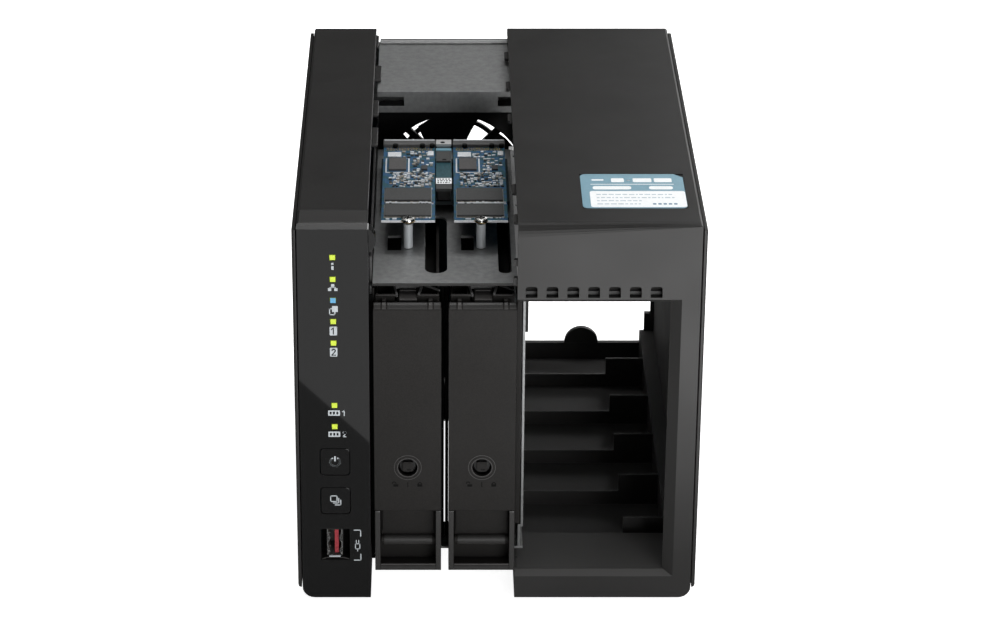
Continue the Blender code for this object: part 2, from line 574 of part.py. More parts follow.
# ---------------------------------------------------------------- trays
def make_tray(index, left):
    right = left + TRAY_WIDTH
    inner_left = left + 0.8
    inner_right = right - 0.8
    middle = left + TRAY_WIDTH / 2
    bulkhead = block((left + 0.3, BULKHEAD_FRONT, TRAY_BOTTOM), (right - 0.3, BULKHEAD_BACK, 131.0))
    pieces = [
        block((left, 0.3, TRAY_BOTTOM), (left + 2.2, 9.0, 40.2)),
        block((right - 2.2, 0.3, TRAY_BOTTOM), (right, 9.0, 40.2)),
        block((left + 0.1, 0.3, TRAY_BOTTOM), (right - 0.1, 9.0, 15.0)),
        block((inner_left, 8.5, 18.9), (inner_right, RAIL_BACK, 20.3)),
        block((inner_left, 8.5, 122.5), (inner_right, RAIL_BACK, 124.2)),
        block((inner_left, 7.7, 123.0), (inner_right, 26.0, TRAY_TOP)),
        block((inner_left, 20.0, 123.5), (inner_left + 1.2, 150.0, TRAY_TOP)),
        block((inner_right - 1.2, 20.0, 123.5), (inner_right, 150.0, TRAY_TOP)),
    ]
    windows = [
        block((inner_left + 0.8, 9.6, 126.0), (left + 7.4, 23.0, TRAY_TOP + 1)),
        block((right - 8.2, 9.6, 126.0), (inner_right - 0.8, 23.0, TRAY_TOP + 1)),
        block((left + 8.6, 7.0, 130.4), (right - 9.8, 19.0, TRAY_TOP + 1)),
    ]
    ears = []
    for start in (left + 3.5, right - 5.1):
        ears.append(block((start, HINGE_Y, HINGE_Z - 0.9), (start + 1.6, 8.6, HINGE_Z + 0.9)))
        ears.append(rod((start + 0.8, HINGE_Y, HINGE_Z), "x", 0.95, 1.6, 16))
        ears.append(block((start, HINGE_Y + 2.3, HINGE_Z - 0.6), (start + 1.6, 8.6, HINGE_Z + 2.5)))
    latch = block((left + 9.4, 9.0, 129.5), (right - 10.6, 17.6, 132.6), (("x", -1, 1, 1.5, 3),))
    tray = part(f"tray_{index}", bulkhead, "dark_plastic", plus=pieces, minus=windows,
                rejoin=ears + [latch])

    drive_left = middle - DRIVE_HEIGHT / 2
    drive = block((drive_left, DRIVE_FRONT, DRIVE_BOTTOM),
                  (drive_left + DRIVE_HEIGHT, DRIVE_FRONT + DRIVE_LENGTH, DRIVE_BOTTOM + DRIVE_WIDTH),
                  (("x", 0, 0, 2.0, 3),))
    drive = part(f"hard_drive_{index}", drive, "drive_metal")
    slide = pivot(f"tray_{index}_slide", (middle, 0, HINGE_Z), (tray, drive))

    plate = block((left, 0, PLATE_BOTTOM), (right, PLATE_THICKNESS, PLATE_TOP - 0.5),
                  (("x", -1, 1, 0.5, 2), ("x", -1, -1, 0.5, 2)))
    barrel = rod((middle, HINGE_Y, HINGE_Z), "x", HINGE_RADIUS, TRAY_WIDTH - 0.2, 20)
    scoop = [
        block((left + 2.6, 1.0, 41.4), (right - 2.6, 7.2, 43.2)),
        block((left + 2.6, 6.0, 24.8), (right - 2.6, 7.2, 42.6)),
        rod((middle, 5.2, 24.8), "x", 2.0, TRAY_WIDTH - 5.2, 16),
    ]
    slots = [block((start, PLATE_THICKNESS, HINGE_Z - 4), (start + 2.2, 8, HINGE_Z + 4))
             for start in (left + 3.2, right - 5.4)]
    slots.append(rod((middle, 0, LOCK_Z), "y", 4.0, 8.0, 28))
    handle = part(f"tray_handle_{index}", plate, "dark_plastic", plus=[barrel] + scoop, minus=slots)
    swing = pivot(f"tray_handle_{index}_hinge", (middle, HINGE_Y, HINGE_Z), (handle,), slide)

    barrel = rod((middle, 3.4, LOCK_Z), "y", 3.65, 6.2, 28)
    cam = block((middle - 1.5, 4.6, LOCK_Z - 1.5), (middle + 1.5, 6.2, LOCK_Z + 8.5))
    keyway = block((middle - 2.1, -1.0, LOCK_Z - 2.1), (middle + 2.1, 3.2, LOCK_Z + 2.1))
    lock = part(f"tray_lock_{index}", barrel, "connector_black", plus=(cam,), minus=(keyway,))
    pivot(f"tray_lock_{index}_turn", (middle, 0.3, LOCK_Z), (lock,), swing)


# ---------------------------------------------------------------- cover
def make_cover():
    shell = block((COVER_LEFT, 0, 0), (BODY_RIGHT, CASE_DEPTH, CASE_HEIGHT),
                  (("y", 1, -1, BOTTOM_CORNER, 6), ("y", 1, 1, 1.0, 2),
                   ("x", -1, 1, 4.8, 6), ("z", 1, -1, 1.2, 2)))
    cuts = [
        block((COVER_LEFT - 2, BEZEL, WALL), (BODY_RIGHT - WALL, CASE_DEPTH + 2, INNER_TOP),
              (("y", 1, -1, 2.5, 3),)),
        block((COVER_LEFT - 3, -2, COVER_OPENING_BOTTOM),
              (COVER_OPENING_RIGHT, BEZEL + 2, COVER_OPENING_TOP)),
        flared_block((COVER_LEFT - 4, -0.5, COVER_OPENING_BOTTOM),
                     (COVER_OPENING_RIGHT, 3.0, COVER_OPENING_TOP), 0.0, 4.9, 2.6, 2.5),
        block((LABEL_LOW[0] - GAP, LABEL_LOW[1] - GAP, CASE_HEIGHT - 0.5),
              (LABEL_HIGH[0] + GAP, LABEL_HIGH[1] + GAP, CASE_HEIGHT + 1)),
    ]
    for index in range(VENT_COUNT):
        middle = VENT_FIRST + index * VENT_PITCH
        cuts.append(block((middle - 2.35, -1, 137.0), (middle + 2.35, BEZEL + 1, 141.7),
                          (("y", -1, 1, 1.0, 2), ("y", 1, 1, 1.0, 2))))

    inside_right = BODY_RIGHT - 1.5
    lip_front, lip_back = COVER_REAR_LIP
    adds = [
        block((COVER_LEFT + 0.2, 2.6, 10.8), (inside_right, 33.1, COVER_OPENING_BOTTOM)),
        block((COVER_LEFT + 0.2, 31.6, 1.5), (inside_right, 33.1, COVER_OPENING_BOTTOM - 0.4)),
        block((COVER_LEFT + 0.1, 12.0, 12.0), (COVER_LEFT + 1.4, 24.0, 12.6)),
        block((COVER_STEP_LEFT, 32.0, 1.2), (inside_right, 223.5, COVER_STEP_TOP)),
        block((155.9, lip_front, 1.2), (inside_right, lip_back, 26.0)),
        block((158.7, lip_front, 20.0), (inside_right, lip_back, 167.0)),
        block((COVER_LEFT + 0.2, lip_front, 1.2), (inside_right, lip_back, 10.6)),
        rod((126.2, 223.9, 10.4), "y", 8.0, 2.4, 28),
    ]
    for index in range(RIB_COUNT):
        start = COVER_RIB_FRONT + index * COVER_RIB_PITCH
        adds.append(block((136.4, start, 1.3), (154.5, start + 1.5, 16.5)))
        if index:
            adds.append(block((COVER_LEFT + 1.6, start, 1.4), (137.0, start + 1.4, 8.5)))
    top_tabs = ((190.4, 199.2), (153.5, 162.2), (115.2, 124.0), (37.0, 46.4), (7.4, 15.4))
    for start, end in top_tabs:
        adds.append(block((COVER_LEFT - 1.8, start, 165.4), (COVER_LEFT + 3, end, 166.6),
                          (("z", -1, 0, 1.0, 2),)))
    for low, high in ((149.6, 152.4), (141.4, 144.6)):
        adds.append(block((COVER_LEFT - 1.6, 2.4, low), (COVER_LEFT + 3, 4.4, high),
                          (("y", -1, 0, 0.8, 2),)))
    shell = part("cover_shell", shell, "black_shell", minus=cuts, rejoin=adds)

    panel = block((BODY_RIGHT + GAP, PANEL_SETBACK, SIDE_PANEL_BOTTOM),
                  (OPEN_WIDTH, CASE_DEPTH - PANEL_SETBACK, SIDE_PANEL_TOP),
                  (("y", 1, -1, 1.2, 2), ("z", 1, -1, 0.8, 2)))
    side = part("cover_side_panel", panel, "black_shell")
    sticker = block((*LABEL_LOW, CASE_HEIGHT - 0.2), (*LABEL_HIGH, CASE_HEIGHT),
                    (("z", 0, 0, 1.5, 3),))
    label = part("cover_label", sticker, "label")
    feet = []
    for end, y in FOOT_SPOTS:
        foot = rod((150.0, y, -(FOOT_HEIGHT + GAP) / 2), "z", FOOT_RADIUS, FOOT_HEIGHT - GAP)
        feet.append(part(f"cover_foot_{end}", foot, "rubber"))
    pivot("cover_slide", (COVER_LEFT, CASE_DEPTH / 2, 0), [shell, side, label] + feet)


clear_scene()
parts = new_collection("network_attached_storage")
tools = new_collection("cutters")
materials = {name: make_material(name) for name in COLOURS}

make_left_housing()
make_front_panel()
make_front_controls()
make_cage()
make_guide_rails()
make_rear()
make_boards()
make_rear_ports()
make_solid_state_drives()
make_fan()
for tray_number, tray_left in enumerate(TRAY_LEFTS, 1):
    make_tray(tray_number, tray_left)
make_cover()
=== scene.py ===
"""The looks of a two-bay network attached storage box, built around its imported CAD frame.

Places are in case millimetres, as in the CAD: x runs right from the left side, y runs back
from the front face, and z runs up from the underside of the case. at() turns them into metres.
"""
import json
import math
import random

import bpy
import bmesh
from mathutils import Matrix, Vector


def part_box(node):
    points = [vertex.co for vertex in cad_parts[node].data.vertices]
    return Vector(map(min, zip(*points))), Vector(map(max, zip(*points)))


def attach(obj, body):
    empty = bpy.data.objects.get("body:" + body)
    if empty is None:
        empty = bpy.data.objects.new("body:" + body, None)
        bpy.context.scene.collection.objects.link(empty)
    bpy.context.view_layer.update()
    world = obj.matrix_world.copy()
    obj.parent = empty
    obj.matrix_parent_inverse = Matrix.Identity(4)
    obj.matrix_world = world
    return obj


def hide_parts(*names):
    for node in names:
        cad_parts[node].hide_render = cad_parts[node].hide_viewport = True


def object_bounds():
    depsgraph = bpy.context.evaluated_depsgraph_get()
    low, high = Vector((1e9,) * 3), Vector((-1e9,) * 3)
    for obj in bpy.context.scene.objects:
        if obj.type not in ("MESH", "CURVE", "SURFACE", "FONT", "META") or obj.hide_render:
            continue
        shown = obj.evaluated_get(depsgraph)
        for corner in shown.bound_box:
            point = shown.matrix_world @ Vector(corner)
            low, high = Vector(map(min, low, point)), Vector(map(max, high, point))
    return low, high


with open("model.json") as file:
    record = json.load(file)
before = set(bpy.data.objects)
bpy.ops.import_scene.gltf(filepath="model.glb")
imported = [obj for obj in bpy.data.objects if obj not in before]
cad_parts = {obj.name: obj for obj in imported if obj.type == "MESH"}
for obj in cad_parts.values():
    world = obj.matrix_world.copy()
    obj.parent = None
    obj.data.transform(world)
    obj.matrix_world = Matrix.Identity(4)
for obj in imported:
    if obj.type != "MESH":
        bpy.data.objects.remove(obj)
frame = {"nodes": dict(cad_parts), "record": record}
cad_low, cad_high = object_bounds()

MM = 0.001
CASE_ORIGIN = Vector((cad_low.x, cad_low.y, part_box("left_housing")[0].z))


def at(x, y, z):
    return CASE_ORIGIN + Vector((x, y, z)) * MM


def case_box(node):
    """A CAD node's lowest and highest corners, in case millimetres."""
    return [(corner - CASE_ORIGIN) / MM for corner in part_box(node)]


def case_middle(node):
    """The middle of a CAD node, in case millimetres."""
    return [(start + end) / 2 for start, end in zip(*case_box(node))]


# ---- materials
def set_inputs(node, **values):
    """Sets sockets by name, with an underscore for each space, to a value or an output to link."""
    for name, value in values.items():
        socket = node.inputs[name.replace("_", " ")]
        if isinstance(value, bpy.types.NodeSocket):
            node.id_data.links.new(value, socket)
        else:
            socket.default_value = value


def new_material(name, colour, metallic, roughness, specular=0.5):
    material = bpy.data.materials.new(name)
    material.use_nodes = True
    shader = material.node_tree.nodes["Principled BSDF"]
    set_inputs(shader, Base_Color=(*colour, 1.0), Metallic=metallic, Roughness=roughness,
               Specular_IOR_Level=specular)
    return material, shader


def noise(tree, per_metre, detail=2.0):
    """A noise texture in the object's own coordinates, with about per_metre grains a metre."""
    place = tree.nodes.new("ShaderNodeTexCoord").outputs["Object"]
    texture = tree.nodes.new("ShaderNodeTexNoise")
    set_inputs(texture, Scale=per_metre, Detail=detail, Vector=place)
    return texture.outputs["Fac"]


def spread(tree, value, low, high, from_low=0.3, from_high=0.7):
    """Maps a texture value onto a range."""
    remap = tree.nodes.new("ShaderNodeMapRange")
    set_inputs(remap, From_Min=from_low, From_Max=from_high, To_Min=low, To_Max=high, Value=value)
    return remap.outputs["Result"]


def tint(tree, value, dark, light, from_low=0.3, from_high=0.7):
    """A colour between dark and light, chosen by where a value lies in a range."""
    ramp = tree.nodes.new("ShaderNodeValToRGB")
    first, last = ramp.color_ramp.elements
    first.position = from_low
    last.position = from_high
    first.color = (*dark, 1.0)
    last.color = (*light, 1.0)
    set_inputs(ramp, Fac=value)
    return ramp.outputs["Color"]


def relief(tree, value, depth_mm):
    node = tree.nodes.new("ShaderNodeBump")
    set_inputs(node, Distance=depth_mm * MM, Height=value)
    return node.outputs["Normal"]


def shade(colour, factor):
    return tuple(min(1.0, channel * factor) for channel in colour)


def waver(tree, value, colour, variation):
    """A colour made darker and lighter by a share, following a texture value."""
    return tint(tree, value, shade(colour, 1 - variation), shade(colour, 1 + variation))


def plastic(name, colour, roughness, grain=1200, depth=0.01, variation=0.25, specular=0.5):
    """Moulded plastic: a fine spark-eroded grain, with slow changes of polish."""
    material, shader = new_material(name, colour, 0.0, roughness, specular)
    tree = material.node_tree
    fine = noise(tree, grain, 3.0)
    set_inputs(shader, Base_Color=waver(tree, fine, colour, variation),
               Roughness=spread(tree, noise(tree, 35), roughness - 0.04, roughness + 0.05),
               Normal=relief(tree, fine, depth))
    return material


def metal(name, colour, roughness, grain=1500, depth=0.003, variation=0.05, spangle=60, metallic=1.0):
    """Sheet or machined metal: drawn grain over slow cloudy patches."""
    material, shader = new_material(name, colour, metallic, roughness)
    tree = material.node_tree
    drawn, cloud = noise(tree, grain, 3.0), noise(tree, spangle, 3.0)
    set_inputs(shader, Base_Color=waver(tree, cloud, colour, variation),
               Roughness=spread(tree, drawn, roughness - 0.08, roughness + 0.1),
               Normal=relief(tree, drawn, depth))
    return material


def lit(name, colour, strength):
    """A lit window: an even glow with a slightly mottled face."""
    material, shader = new_material(name, colour, 0.0, 0.3)
    tree = material.node_tree
    glow = tint(tree, noise(tree, 1500), shade(colour, 0.85), shade(colour, 1.1))
    set_inputs(shader, Base_Color=glow, Emission_Color=glow, Emission_Strength=strength)
    return material


def component(tree, source_type, output, axis):
    """One coordinate of a vector that a source node gives."""
    split = tree.nodes.new("ShaderNodeSeparateXYZ")
    set_inputs(split, Vector=tree.nodes.new(source_type).outputs[output])
    return split.outputs[axis]


def facing(tree, axis):
    """The part of the surface's direction along an axis: 1 on level tops along Z."""
    return component(tree, "ShaderNodeNewGeometry", "Normal", axis)


def calm_tops(material, sides, tops):
    """Gives level tops a weaker sheen than the sides."""
    tree = material.node_tree
    sheen = spread(tree, facing(tree, "Z"), sides, tops, 0.5, 0.98)
    set_inputs(tree.nodes["Principled BSDF"], Specular_IOR_Level=sheen)


def arithmetic(tree, operation, first, second):
    """One math node; second may be a plain number."""
    node = tree.nodes.new("ShaderNodeMath")
    node.operation = operation
    tree.links.new(first, node.inputs[0])
    if isinstance(second, float):
        node.inputs[1].default_value = second
    else:
        tree.links.new(second, node.inputs[1])
    return node.outputs[0]


INSIDE_FLOOR_TOP = 30 * MM
MOSTLY_FACING = 0.6


def cover_with_painted_light_inside():
    """The cover's plastic: black outside, with painted light inside: a paler grey on its floor and inner
    side wall.
    """
    # The paler grey is painted light on the floor and the inner wall, not another plastic.
    outside, inside_painted_light = CASE_BLACK, (0.062, 0.061, 0.060)
    material = plastic("cover_black", outside, 0.42, 2600, 0.012)
    calm_tops(material, 0.5, 0.10)
    tree = material.node_tree
    height = component(tree, "ShaderNodeTexCoord", "Object", "Z")
    low = arithmetic(tree, "LESS_THAN", height, INSIDE_FLOOR_TOP)
    level = arithmetic(tree, "GREATER_THAN", facing(tree, "Z"), MOSTLY_FACING)
    floor = arithmetic(tree, "MULTIPLY", level, low)
    wall = arithmetic(tree, "LESS_THAN", facing(tree, "X"), -MOSTLY_FACING)
    mix = tree.nodes.new("ShaderNodeMix")
    mix.data_type = "RGBA"
    set_inputs(mix, Factor=arithmetic(tree, "MAXIMUM", floor, wall), A=(*outside, 1.0), B=(*inside_painted_light, 1.0))
    set_inputs(tree.nodes["Principled BSDF"], Base_Color=mix.outputs["Result"])
    return material


def polished_front():
    """Piano-black plastic whose upward faces are left matt, like the top of the case."""
    gloss, matt_top = (0.009, 0.009, 0.009), (0.021, 0.0203, 0.0197)
    material, shader = new_material("panel_gloss_black", gloss, 0.0, 0.08, 0.35)
    tree = material.node_tree
    up = facing(tree, "Z")
    level = (0.90, 0.99)
    set_inputs(shader, Base_Color=tint(tree, up, gloss, matt_top, *level),
               Roughness=spread(tree, up, 0.035, 0.42, *level),
               Normal=relief(tree, noise(tree, 400, 3.0), 0.0005))
    return material


def card_mask():
    """A circuit card's solder mask: teal and blue copper patches a millimetre or two across."""
    blue, teal = (0.026, 0.088, 0.180), (0.028, 0.082, 0.100)
    material, shader = new_material("card_blue_mask", blue, 0.0, 0.35, 0.3)
    tree = material.node_tree
    patches = noise(tree, 420, 4.0)
    set_inputs(shader, Base_Color=tint(tree, patches, teal, blue, 0.46, 0.54),
               Roughness=spread(tree, patches, 0.3, 0.42), Normal=relief(tree, patches, 0.02))
    return material


CASE_BLACK = (0.0195, 0.0189, 0.0184)
SHELL = plastic("shell_black", CASE_BLACK, 0.42, 2600, 0.012)
calm_tops(SHELL, 0.5, 0.10)
COVER = cover_with_painted_light_inside()
GLOSS = polished_front()
TRAY = plastic("tray_black", (0.0108, 0.0098, 0.0090), 0.55, 2200, 0.012, specular=0.25)
# Greys lighter than the tray's black: painted light and highlights on tray edges, rails, lips and barrels,
# on the vent ledges and by the front socket. The dimmest also darkens the shelf's front edge as painted
# shade.
PAINTED_LIGHT_GREY = plastic("painted_light_grey", (0.038, 0.036, 0.035), 0.45, 2200)
PAINTED_LIGHT_AND_SHADE_GREY = plastic("painted_light_and_shade_grey", (0.023, 0.0222, 0.0215), 0.45, 2200)
PAINTED_HIGHLIGHT_GREY = plastic("painted_highlight_grey", (0.040, 0.038, 0.037), 0.42, 2200)
PAINTED_HIGHLIGHT_PALE = plastic("painted_highlight_pale", (0.11, 0.11, 0.11), 0.4, 2200, 0.006)
DARK = plastic("connector_black_plastic", (0.010, 0.010, 0.010), 0.40)
SOCKET_GREY = plastic("socket_grey", (0.07, 0.07, 0.07), 0.45)
# Near-black put in screw slots, holes, recesses, gaps and pressed signs: painted shade.
PAINTED_SHADE = plastic("painted_shade_black", (0.004, 0.004, 0.004), 0.7, 900, specular=0.1)
RUBBER = plastic("foot_rubber", (0.012, 0.012, 0.012), 0.85, 1500, 0.05)
USB_RED = plastic("usb_red_plastic", (0.28, 0.02, 0.03), 0.35, 900)
USB_BLUE = plastic("usb_blue_plastic", (0.02, 0.10, 0.35), 0.4, 900)

STEEL = metal("galvanised_sheet", (0.31, 0.315, 0.315), 0.42, 1900, 0.006, 0.12, spangle=420,
              metallic=0.86)
# A darker copy of the galvanised sheet, for the cage's left wall: painted shade.
SHADED_STEEL = metal("shaded_sheet", (0.10, 0.10, 0.10), 0.42, 1900, 0.006, 0.10, spangle=420)
NICKEL = metal("nickel_plate", (0.62, 0.62, 0.60), 0.24, depth=0.004, variation=0.1)
CAST = metal("drive_casting", (0.40, 0.41, 0.43), 0.38, 1100, 0.02, 0.2)
GOLD = metal("gold_contacts", (0.80, 0.58, 0.25), 0.3, variation=0.08)
SATIN_METAL = metal("satin_post_metal", (0.60, 0.63, 0.65), 0.45, metallic=0.35)
PALE_METAL = metal("bright_edge_metal", (0.86, 0.86, 0.85), 0.3)
# A flat pale grey as painted light: on the shelf's side flange, along the top plate's hem and on the
# clamp's top.
PAINTED_LIGHT_PALE = plastic("painted_light_pale", (0.42, 0.42, 0.42), 0.4, 1800, variation=0.1)

BLUE_BOARD = plastic("blue_solder_mask", (0.02, 0.13, 0.30), 0.38, variation=0.4)
TEAL_BOARD = plastic("teal_solder_mask", (0.012, 0.060, 0.074), 0.42, variation=0.4)
# A near-black copy of the teal mask, as painted shade: on the carrier board under the cards, and on the
# backplane.
PAINTED_SHADE_BOARD = plastic("painted_shade_board_mask", (0.005, 0.018, 0.020), 0.5, variation=0.4)
CARD_BLUE = card_mask()
SOLDER = plastic("solder_and_print", (0.62, 0.64, 0.66), 0.45, 1500, variation=0.15)
CERAMIC = plastic("ceramic_parts", (0.30, 0.27, 0.23), 0.5, 1500)
CHIP_GREY = plastic("chip_grey", (0.052, 0.053, 0.053), 0.5, 1500, 0.006, 0.12, specular=0.2)
CHIP_LID = plastic("chip_lid_grey", (0.075, 0.073, 0.073), 0.5, 1500, 0.006, 0.12, specular=0.2)
CHIP_DARK = plastic("chip_dark", (0.035, 0.035, 0.036), 0.5, 1500, 0.006)

LED_GREEN = lit("led_yellow_green", (0.40, 0.50, 0.03), 0.42)
LED_BLUE = lit("led_blue", (0.07, 0.24, 0.40), 0.5)
LABEL = plastic("label_film", (0.175, 0.335, 0.42), 0.42, 900, 0.003, 0.04)
LABEL_SHEET = plastic("label_white", (0.92, 0.94, 0.95), 0.5, 900, 0.002, 0.03)
LABEL_INK = plastic("label_ink", (0.10, 0.22, 0.33), 0.5, 900, 0.002, 0.1)
LABEL_FAINT = plastic("label_faint_ink", (0.46, 0.55, 0.62), 0.5, 900, 0.002, 0.1)
WHITE_INK = plastic("white_print", (0.40, 0.43, 0.45), 0.5, 900, 0.001, 0.06)

NODE_MATERIALS = {
    "housing_black": SHELL, "panel_gloss": GLOSS, "inner_plastic": TRAY, "sheet_steel": STEEL,
    "board_blue": BLUE_BOARD, "board_teal": TEAL_BOARD, "connector_black": DARK,
    "light_pipe": LED_GREEN, "usb_red": USB_RED, "label": LABEL, "rubber": RUBBER,
    "drive_metal": CAST,
}

ONE_OFF_MATERIALS = {
    "backplane": PAINTED_SHADE_BOARD, "m2_carrier_board": PAINTED_SHADE_BOARD, "cage_left_wall": SHADED_STEEL,
    "cover_shell": COVER, "m2_standoff_1": SATIN_METAL, "m2_standoff_2": SATIN_METAL,
}


# ---- mesh building
AXIS_TURNS = {"x": Matrix.Rotation(math.pi / 2, 4, "Y"),
              "y": Matrix.Rotation(-math.pi / 2, 4, "X"),
              "z": Matrix.Identity(4)}


SHARP_ANGLE, EDGE_ANGLE = math.radians(35), math.radians(40)


def weighted_normals(solid):
    """Keeps flat faces flat beside their rounded edges."""
    modifier = solid.modifiers.new("normals", "WEIGHTED_NORMAL")
    modifier.keep_sharp = True


def bevel(solid, width):
    bmesh.ops.bevel(solid, geom=solid.edges[:], offset=width, segments=2, profile=0.5, affect="EDGES")


class Piece:
    """One named mesh, gathered from small solids in case millimetres."""

    def __init__(self, name):
        self.name = name
        self.bm = bmesh.new()
        self.materials = []

    def take(self, solid, material, matrix=None):
        if material not in self.materials:
            self.materials.append(material)
        for face in solid.faces:
            face.material_index = self.materials.index(material)
        if matrix is not None:
            bmesh.ops.transform(solid, matrix=matrix, verts=solid.verts)
        scratch = bpy.data.meshes.new("scratch")
        solid.to_mesh(scratch)
        solid.free()
        self.bm.from_mesh(scratch)
        bpy.data.meshes.remove(scratch)

    def box(self, low, high, material, round_by=0.0, turn=None):
        """A box between two corners, turned about its middle by an axis and degrees."""
        low, high = Vector(low), Vector(high)
        solid = bmesh.new()
        bmesh.ops.create_cube(solid, size=1.0)
        bmesh.ops.scale(solid, vec=high - low, verts=solid.verts)
        if round_by:
            bevel(solid, round_by)
        matrix = Matrix.Translation((low + high) / 2)
        if turn:
            matrix = matrix @ Matrix.Rotation(math.radians(turn[1]), 4, turn[0].upper())
        self.take(solid, material, matrix)

    def turned(self, profile, centre, axis, material, sides=24):
        """A solid of revolution: profile is (radius, distance along the axis) points.

        A profile that starts off the axis is closed into a ring."""
        solid = bmesh.new()
        points = [solid.verts.new((radius, 0, along)) for radius, along in profile]
        pairs = list(zip(points, points[1:]))
        if profile[0][0] > 0:
            pairs.append((points[-1], points[0]))
        outline = [solid.edges.new(pair) for pair in pairs]
        bmesh.ops.spin(solid, geom=points + outline, cent=(0, 0, 0), axis=(0, 0, 1), dvec=(0, 0, 0),
                       angle=2 * math.pi, steps=sides, use_merge=True, use_duplicate=False)
        bmesh.ops.remove_doubles(solid, verts=solid.verts, dist=1e-4)
        bmesh.ops.recalc_face_normals(solid, faces=solid.faces)
        self.take(solid, material, Matrix.Translation(centre) @ AXIS_TURNS[axis])

    def rod(self, centre, axis, radius, length, material, sides=24, round_by=0.0):
        """A cylinder about an axis, centred on a point, with rounded rims."""
        half, rim = length / 2, min(round_by, radius * 0.9, length * 0.45)
        profile = [(0, -half), (radius - rim, -half), (radius, rim - half),
                   (radius, half - rim), (radius - rim, half), (0, half)]
        self.turned(profile, centre, axis, material, sides)

    def tube(self, centre, axis, outer, inner, length, material, sides=24):
        half = length / 2
        self.turned([(inner, -half), (outer, -half), (outer, half), (inner, half)],
                    centre, axis, material, sides)

    def slab(self, outline, axis, start, end, material, round_by=0.0):
        """A flat outline carried along an axis. Outline points are the other two coordinates."""
        index = "xyz".index(axis)
        solid = bmesh.new()
        points = []
        for first, second in outline:
            point = [first, second]
            point.insert(index, start)
            points.append(solid.verts.new(point))
        face = solid.faces.new(points)
        grown = bmesh.ops.extrude_face_region(solid, geom=[face])["geom"]
        shift = [0, 0, 0]
        shift[index] = end - start
        moved = [item for item in grown if isinstance(item, bmesh.types.BMVert)]
        bmesh.ops.translate(solid, vec=shift, verts=moved)
        bmesh.ops.recalc_face_normals(solid, faces=solid.faces)
        if round_by:
            bevel(solid, round_by)
        self.take(solid, material)

    def stroke(self, points, width, axis, start, end, material):
        """A drawn line of one width, as a small slab for each straight run."""
        for first, second in zip(points, points[1:]):
            along = (Vector(second) - Vector(first)).normalized() * width / 2
            across = Vector((-along.y, along.x))
            near, far = Vector(first) - along, Vector(second) + along
            corners = [near - across, far - across, far + across, near + across]
            self.slab(corners, axis, start, end, material)

    def finish(self, body, slot, *replaces):
        """Adds the piece to the scene, riding on a body, and hides the CAD nodes that it replaces."""
        mesh = bpy.data.meshes.new(self.name)
        self.bm.to_mesh(mesh)
        self.bm.free()
        mesh.transform(Matrix.Translation(CASE_ORIGIN) @ Matrix.Scale(MM, 4))
        mesh.shade_smooth()
        mesh.set_sharp_from_angle(angle=SHARP_ANGLE)
        for material in self.materials:
            mesh.materials.append(material)
        solid = bpy.data.objects.new(self.name, mesh)
        bpy.context.scene.collection.objects.link(solid)
        weighted_normals(solid)
        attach(solid, body)
        if replaces:
            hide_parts(*replaces)


# ---- CAD nodes
def soften(solid, width_mm):
    """Rounds a CAD node's sharp edges without touching its mesh."""
    weld = solid.modifiers.new("weld", "WELD")
    weld.merge_threshold = 0.01 * MM
    planar = solid.modifiers.new("planar", "DECIMATE")
    planar.decimate_type = "DISSOLVE"
    planar.angle_limit = math.radians(0.5)
    rounding = solid.modifiers.new("rounding", "BEVEL")
    rounding.width = width_mm * MM
    rounding.segments = 2
    rounding.limit_method = "ANGLE"
    rounding.angle_limit = EDGE_ANGLE
    weighted_normals(solid)


EDGE_ROUNDING = {"cover_shell": 0.3, "left_housing": 0.3, "front_panel": 0.08, "left_side_panel": 0.35,
                 "cover_side_panel": 0.35, "power_button": 0.2, "copy_button": 0.2,
                 "tray_1": 0.15, "tray_2": 0.15, "tray_handle_1": 0.2, "tray_handle_2": 0.2}
SHEET_ROUNDING = 0.12


def finish_nodes():
    for row in frame["record"]["subparts"]:
        name, slot = row["node"], row["material_slot"]
        solid = frame["nodes"][name]
        solid.data.materials.clear()
        solid.data.materials.append(ONE_OFF_MATERIALS.get(name, NODE_MATERIALS[slot]))
        if name in EDGE_ROUNDING:
            soften(solid, EDGE_ROUNDING[name])
        elif slot in ("sheet_steel", "drive_metal", "connector_black", "rubber"):
            soften(solid, SHEET_ROUNDING)


finish_nodes()


# ---- outlines
def rounded(low_first, low_second, high_first, high_second, radius, steps=4):
    """The outline of a rounded rectangle, as points for Piece.slab."""
    left, right = low_first + radius, high_first - radius
    bottom, top = low_second + radius, high_second - radius
    outline = []
    for turn, centre in enumerate(((right, top), (left, top), (left, bottom), (right, bottom))):
        outline += arc(centre, radius, 90 * turn, 90 * turn + 90, steps)
    return outline


def arc(centre, radius, start, end, steps=12):
    points = []
    for step in range(steps + 1):
        angle = math.radians(start + (end - start) * step / steps)
        points.append((centre[0] + radius * math.cos(angle), centre[1] + radius * math.sin(angle)))
    return points


def cross_head(piece, seat, axis, profile, slot_size, slot_reach, sides):
    """A domed screw head with a crossed slot, standing on a seat along y or z; the slot is two near-black
    bars of painted shade.
    """
    piece.turned(profile, seat, axis, NICKEL, sides)
    length, width = slot_size
    reach = Vector((length / 2, width / 2, width / 2))
    low, high = Vector(seat) - reach, Vector(seat) + reach
    index = "xyz".index(axis)
    low[index], high[index] = seat[index] + slot_reach[0], seat[index] + slot_reach[1]
    for turn in (0, 90):
        piece.box(low, high, PAINTED_SHADE, turn=(axis, turn))


def frame_points(low_first, low_second, high_first, high_second):
    """A closed rectangle, as points for Piece.stroke."""
    return [(low_first, low_second), (high_first, low_second), (high_first, high_second),
            (low_first, high_second), (low_first, low_second)]


# ---- cover
LABEL_TOP = 168
INK = 0.03


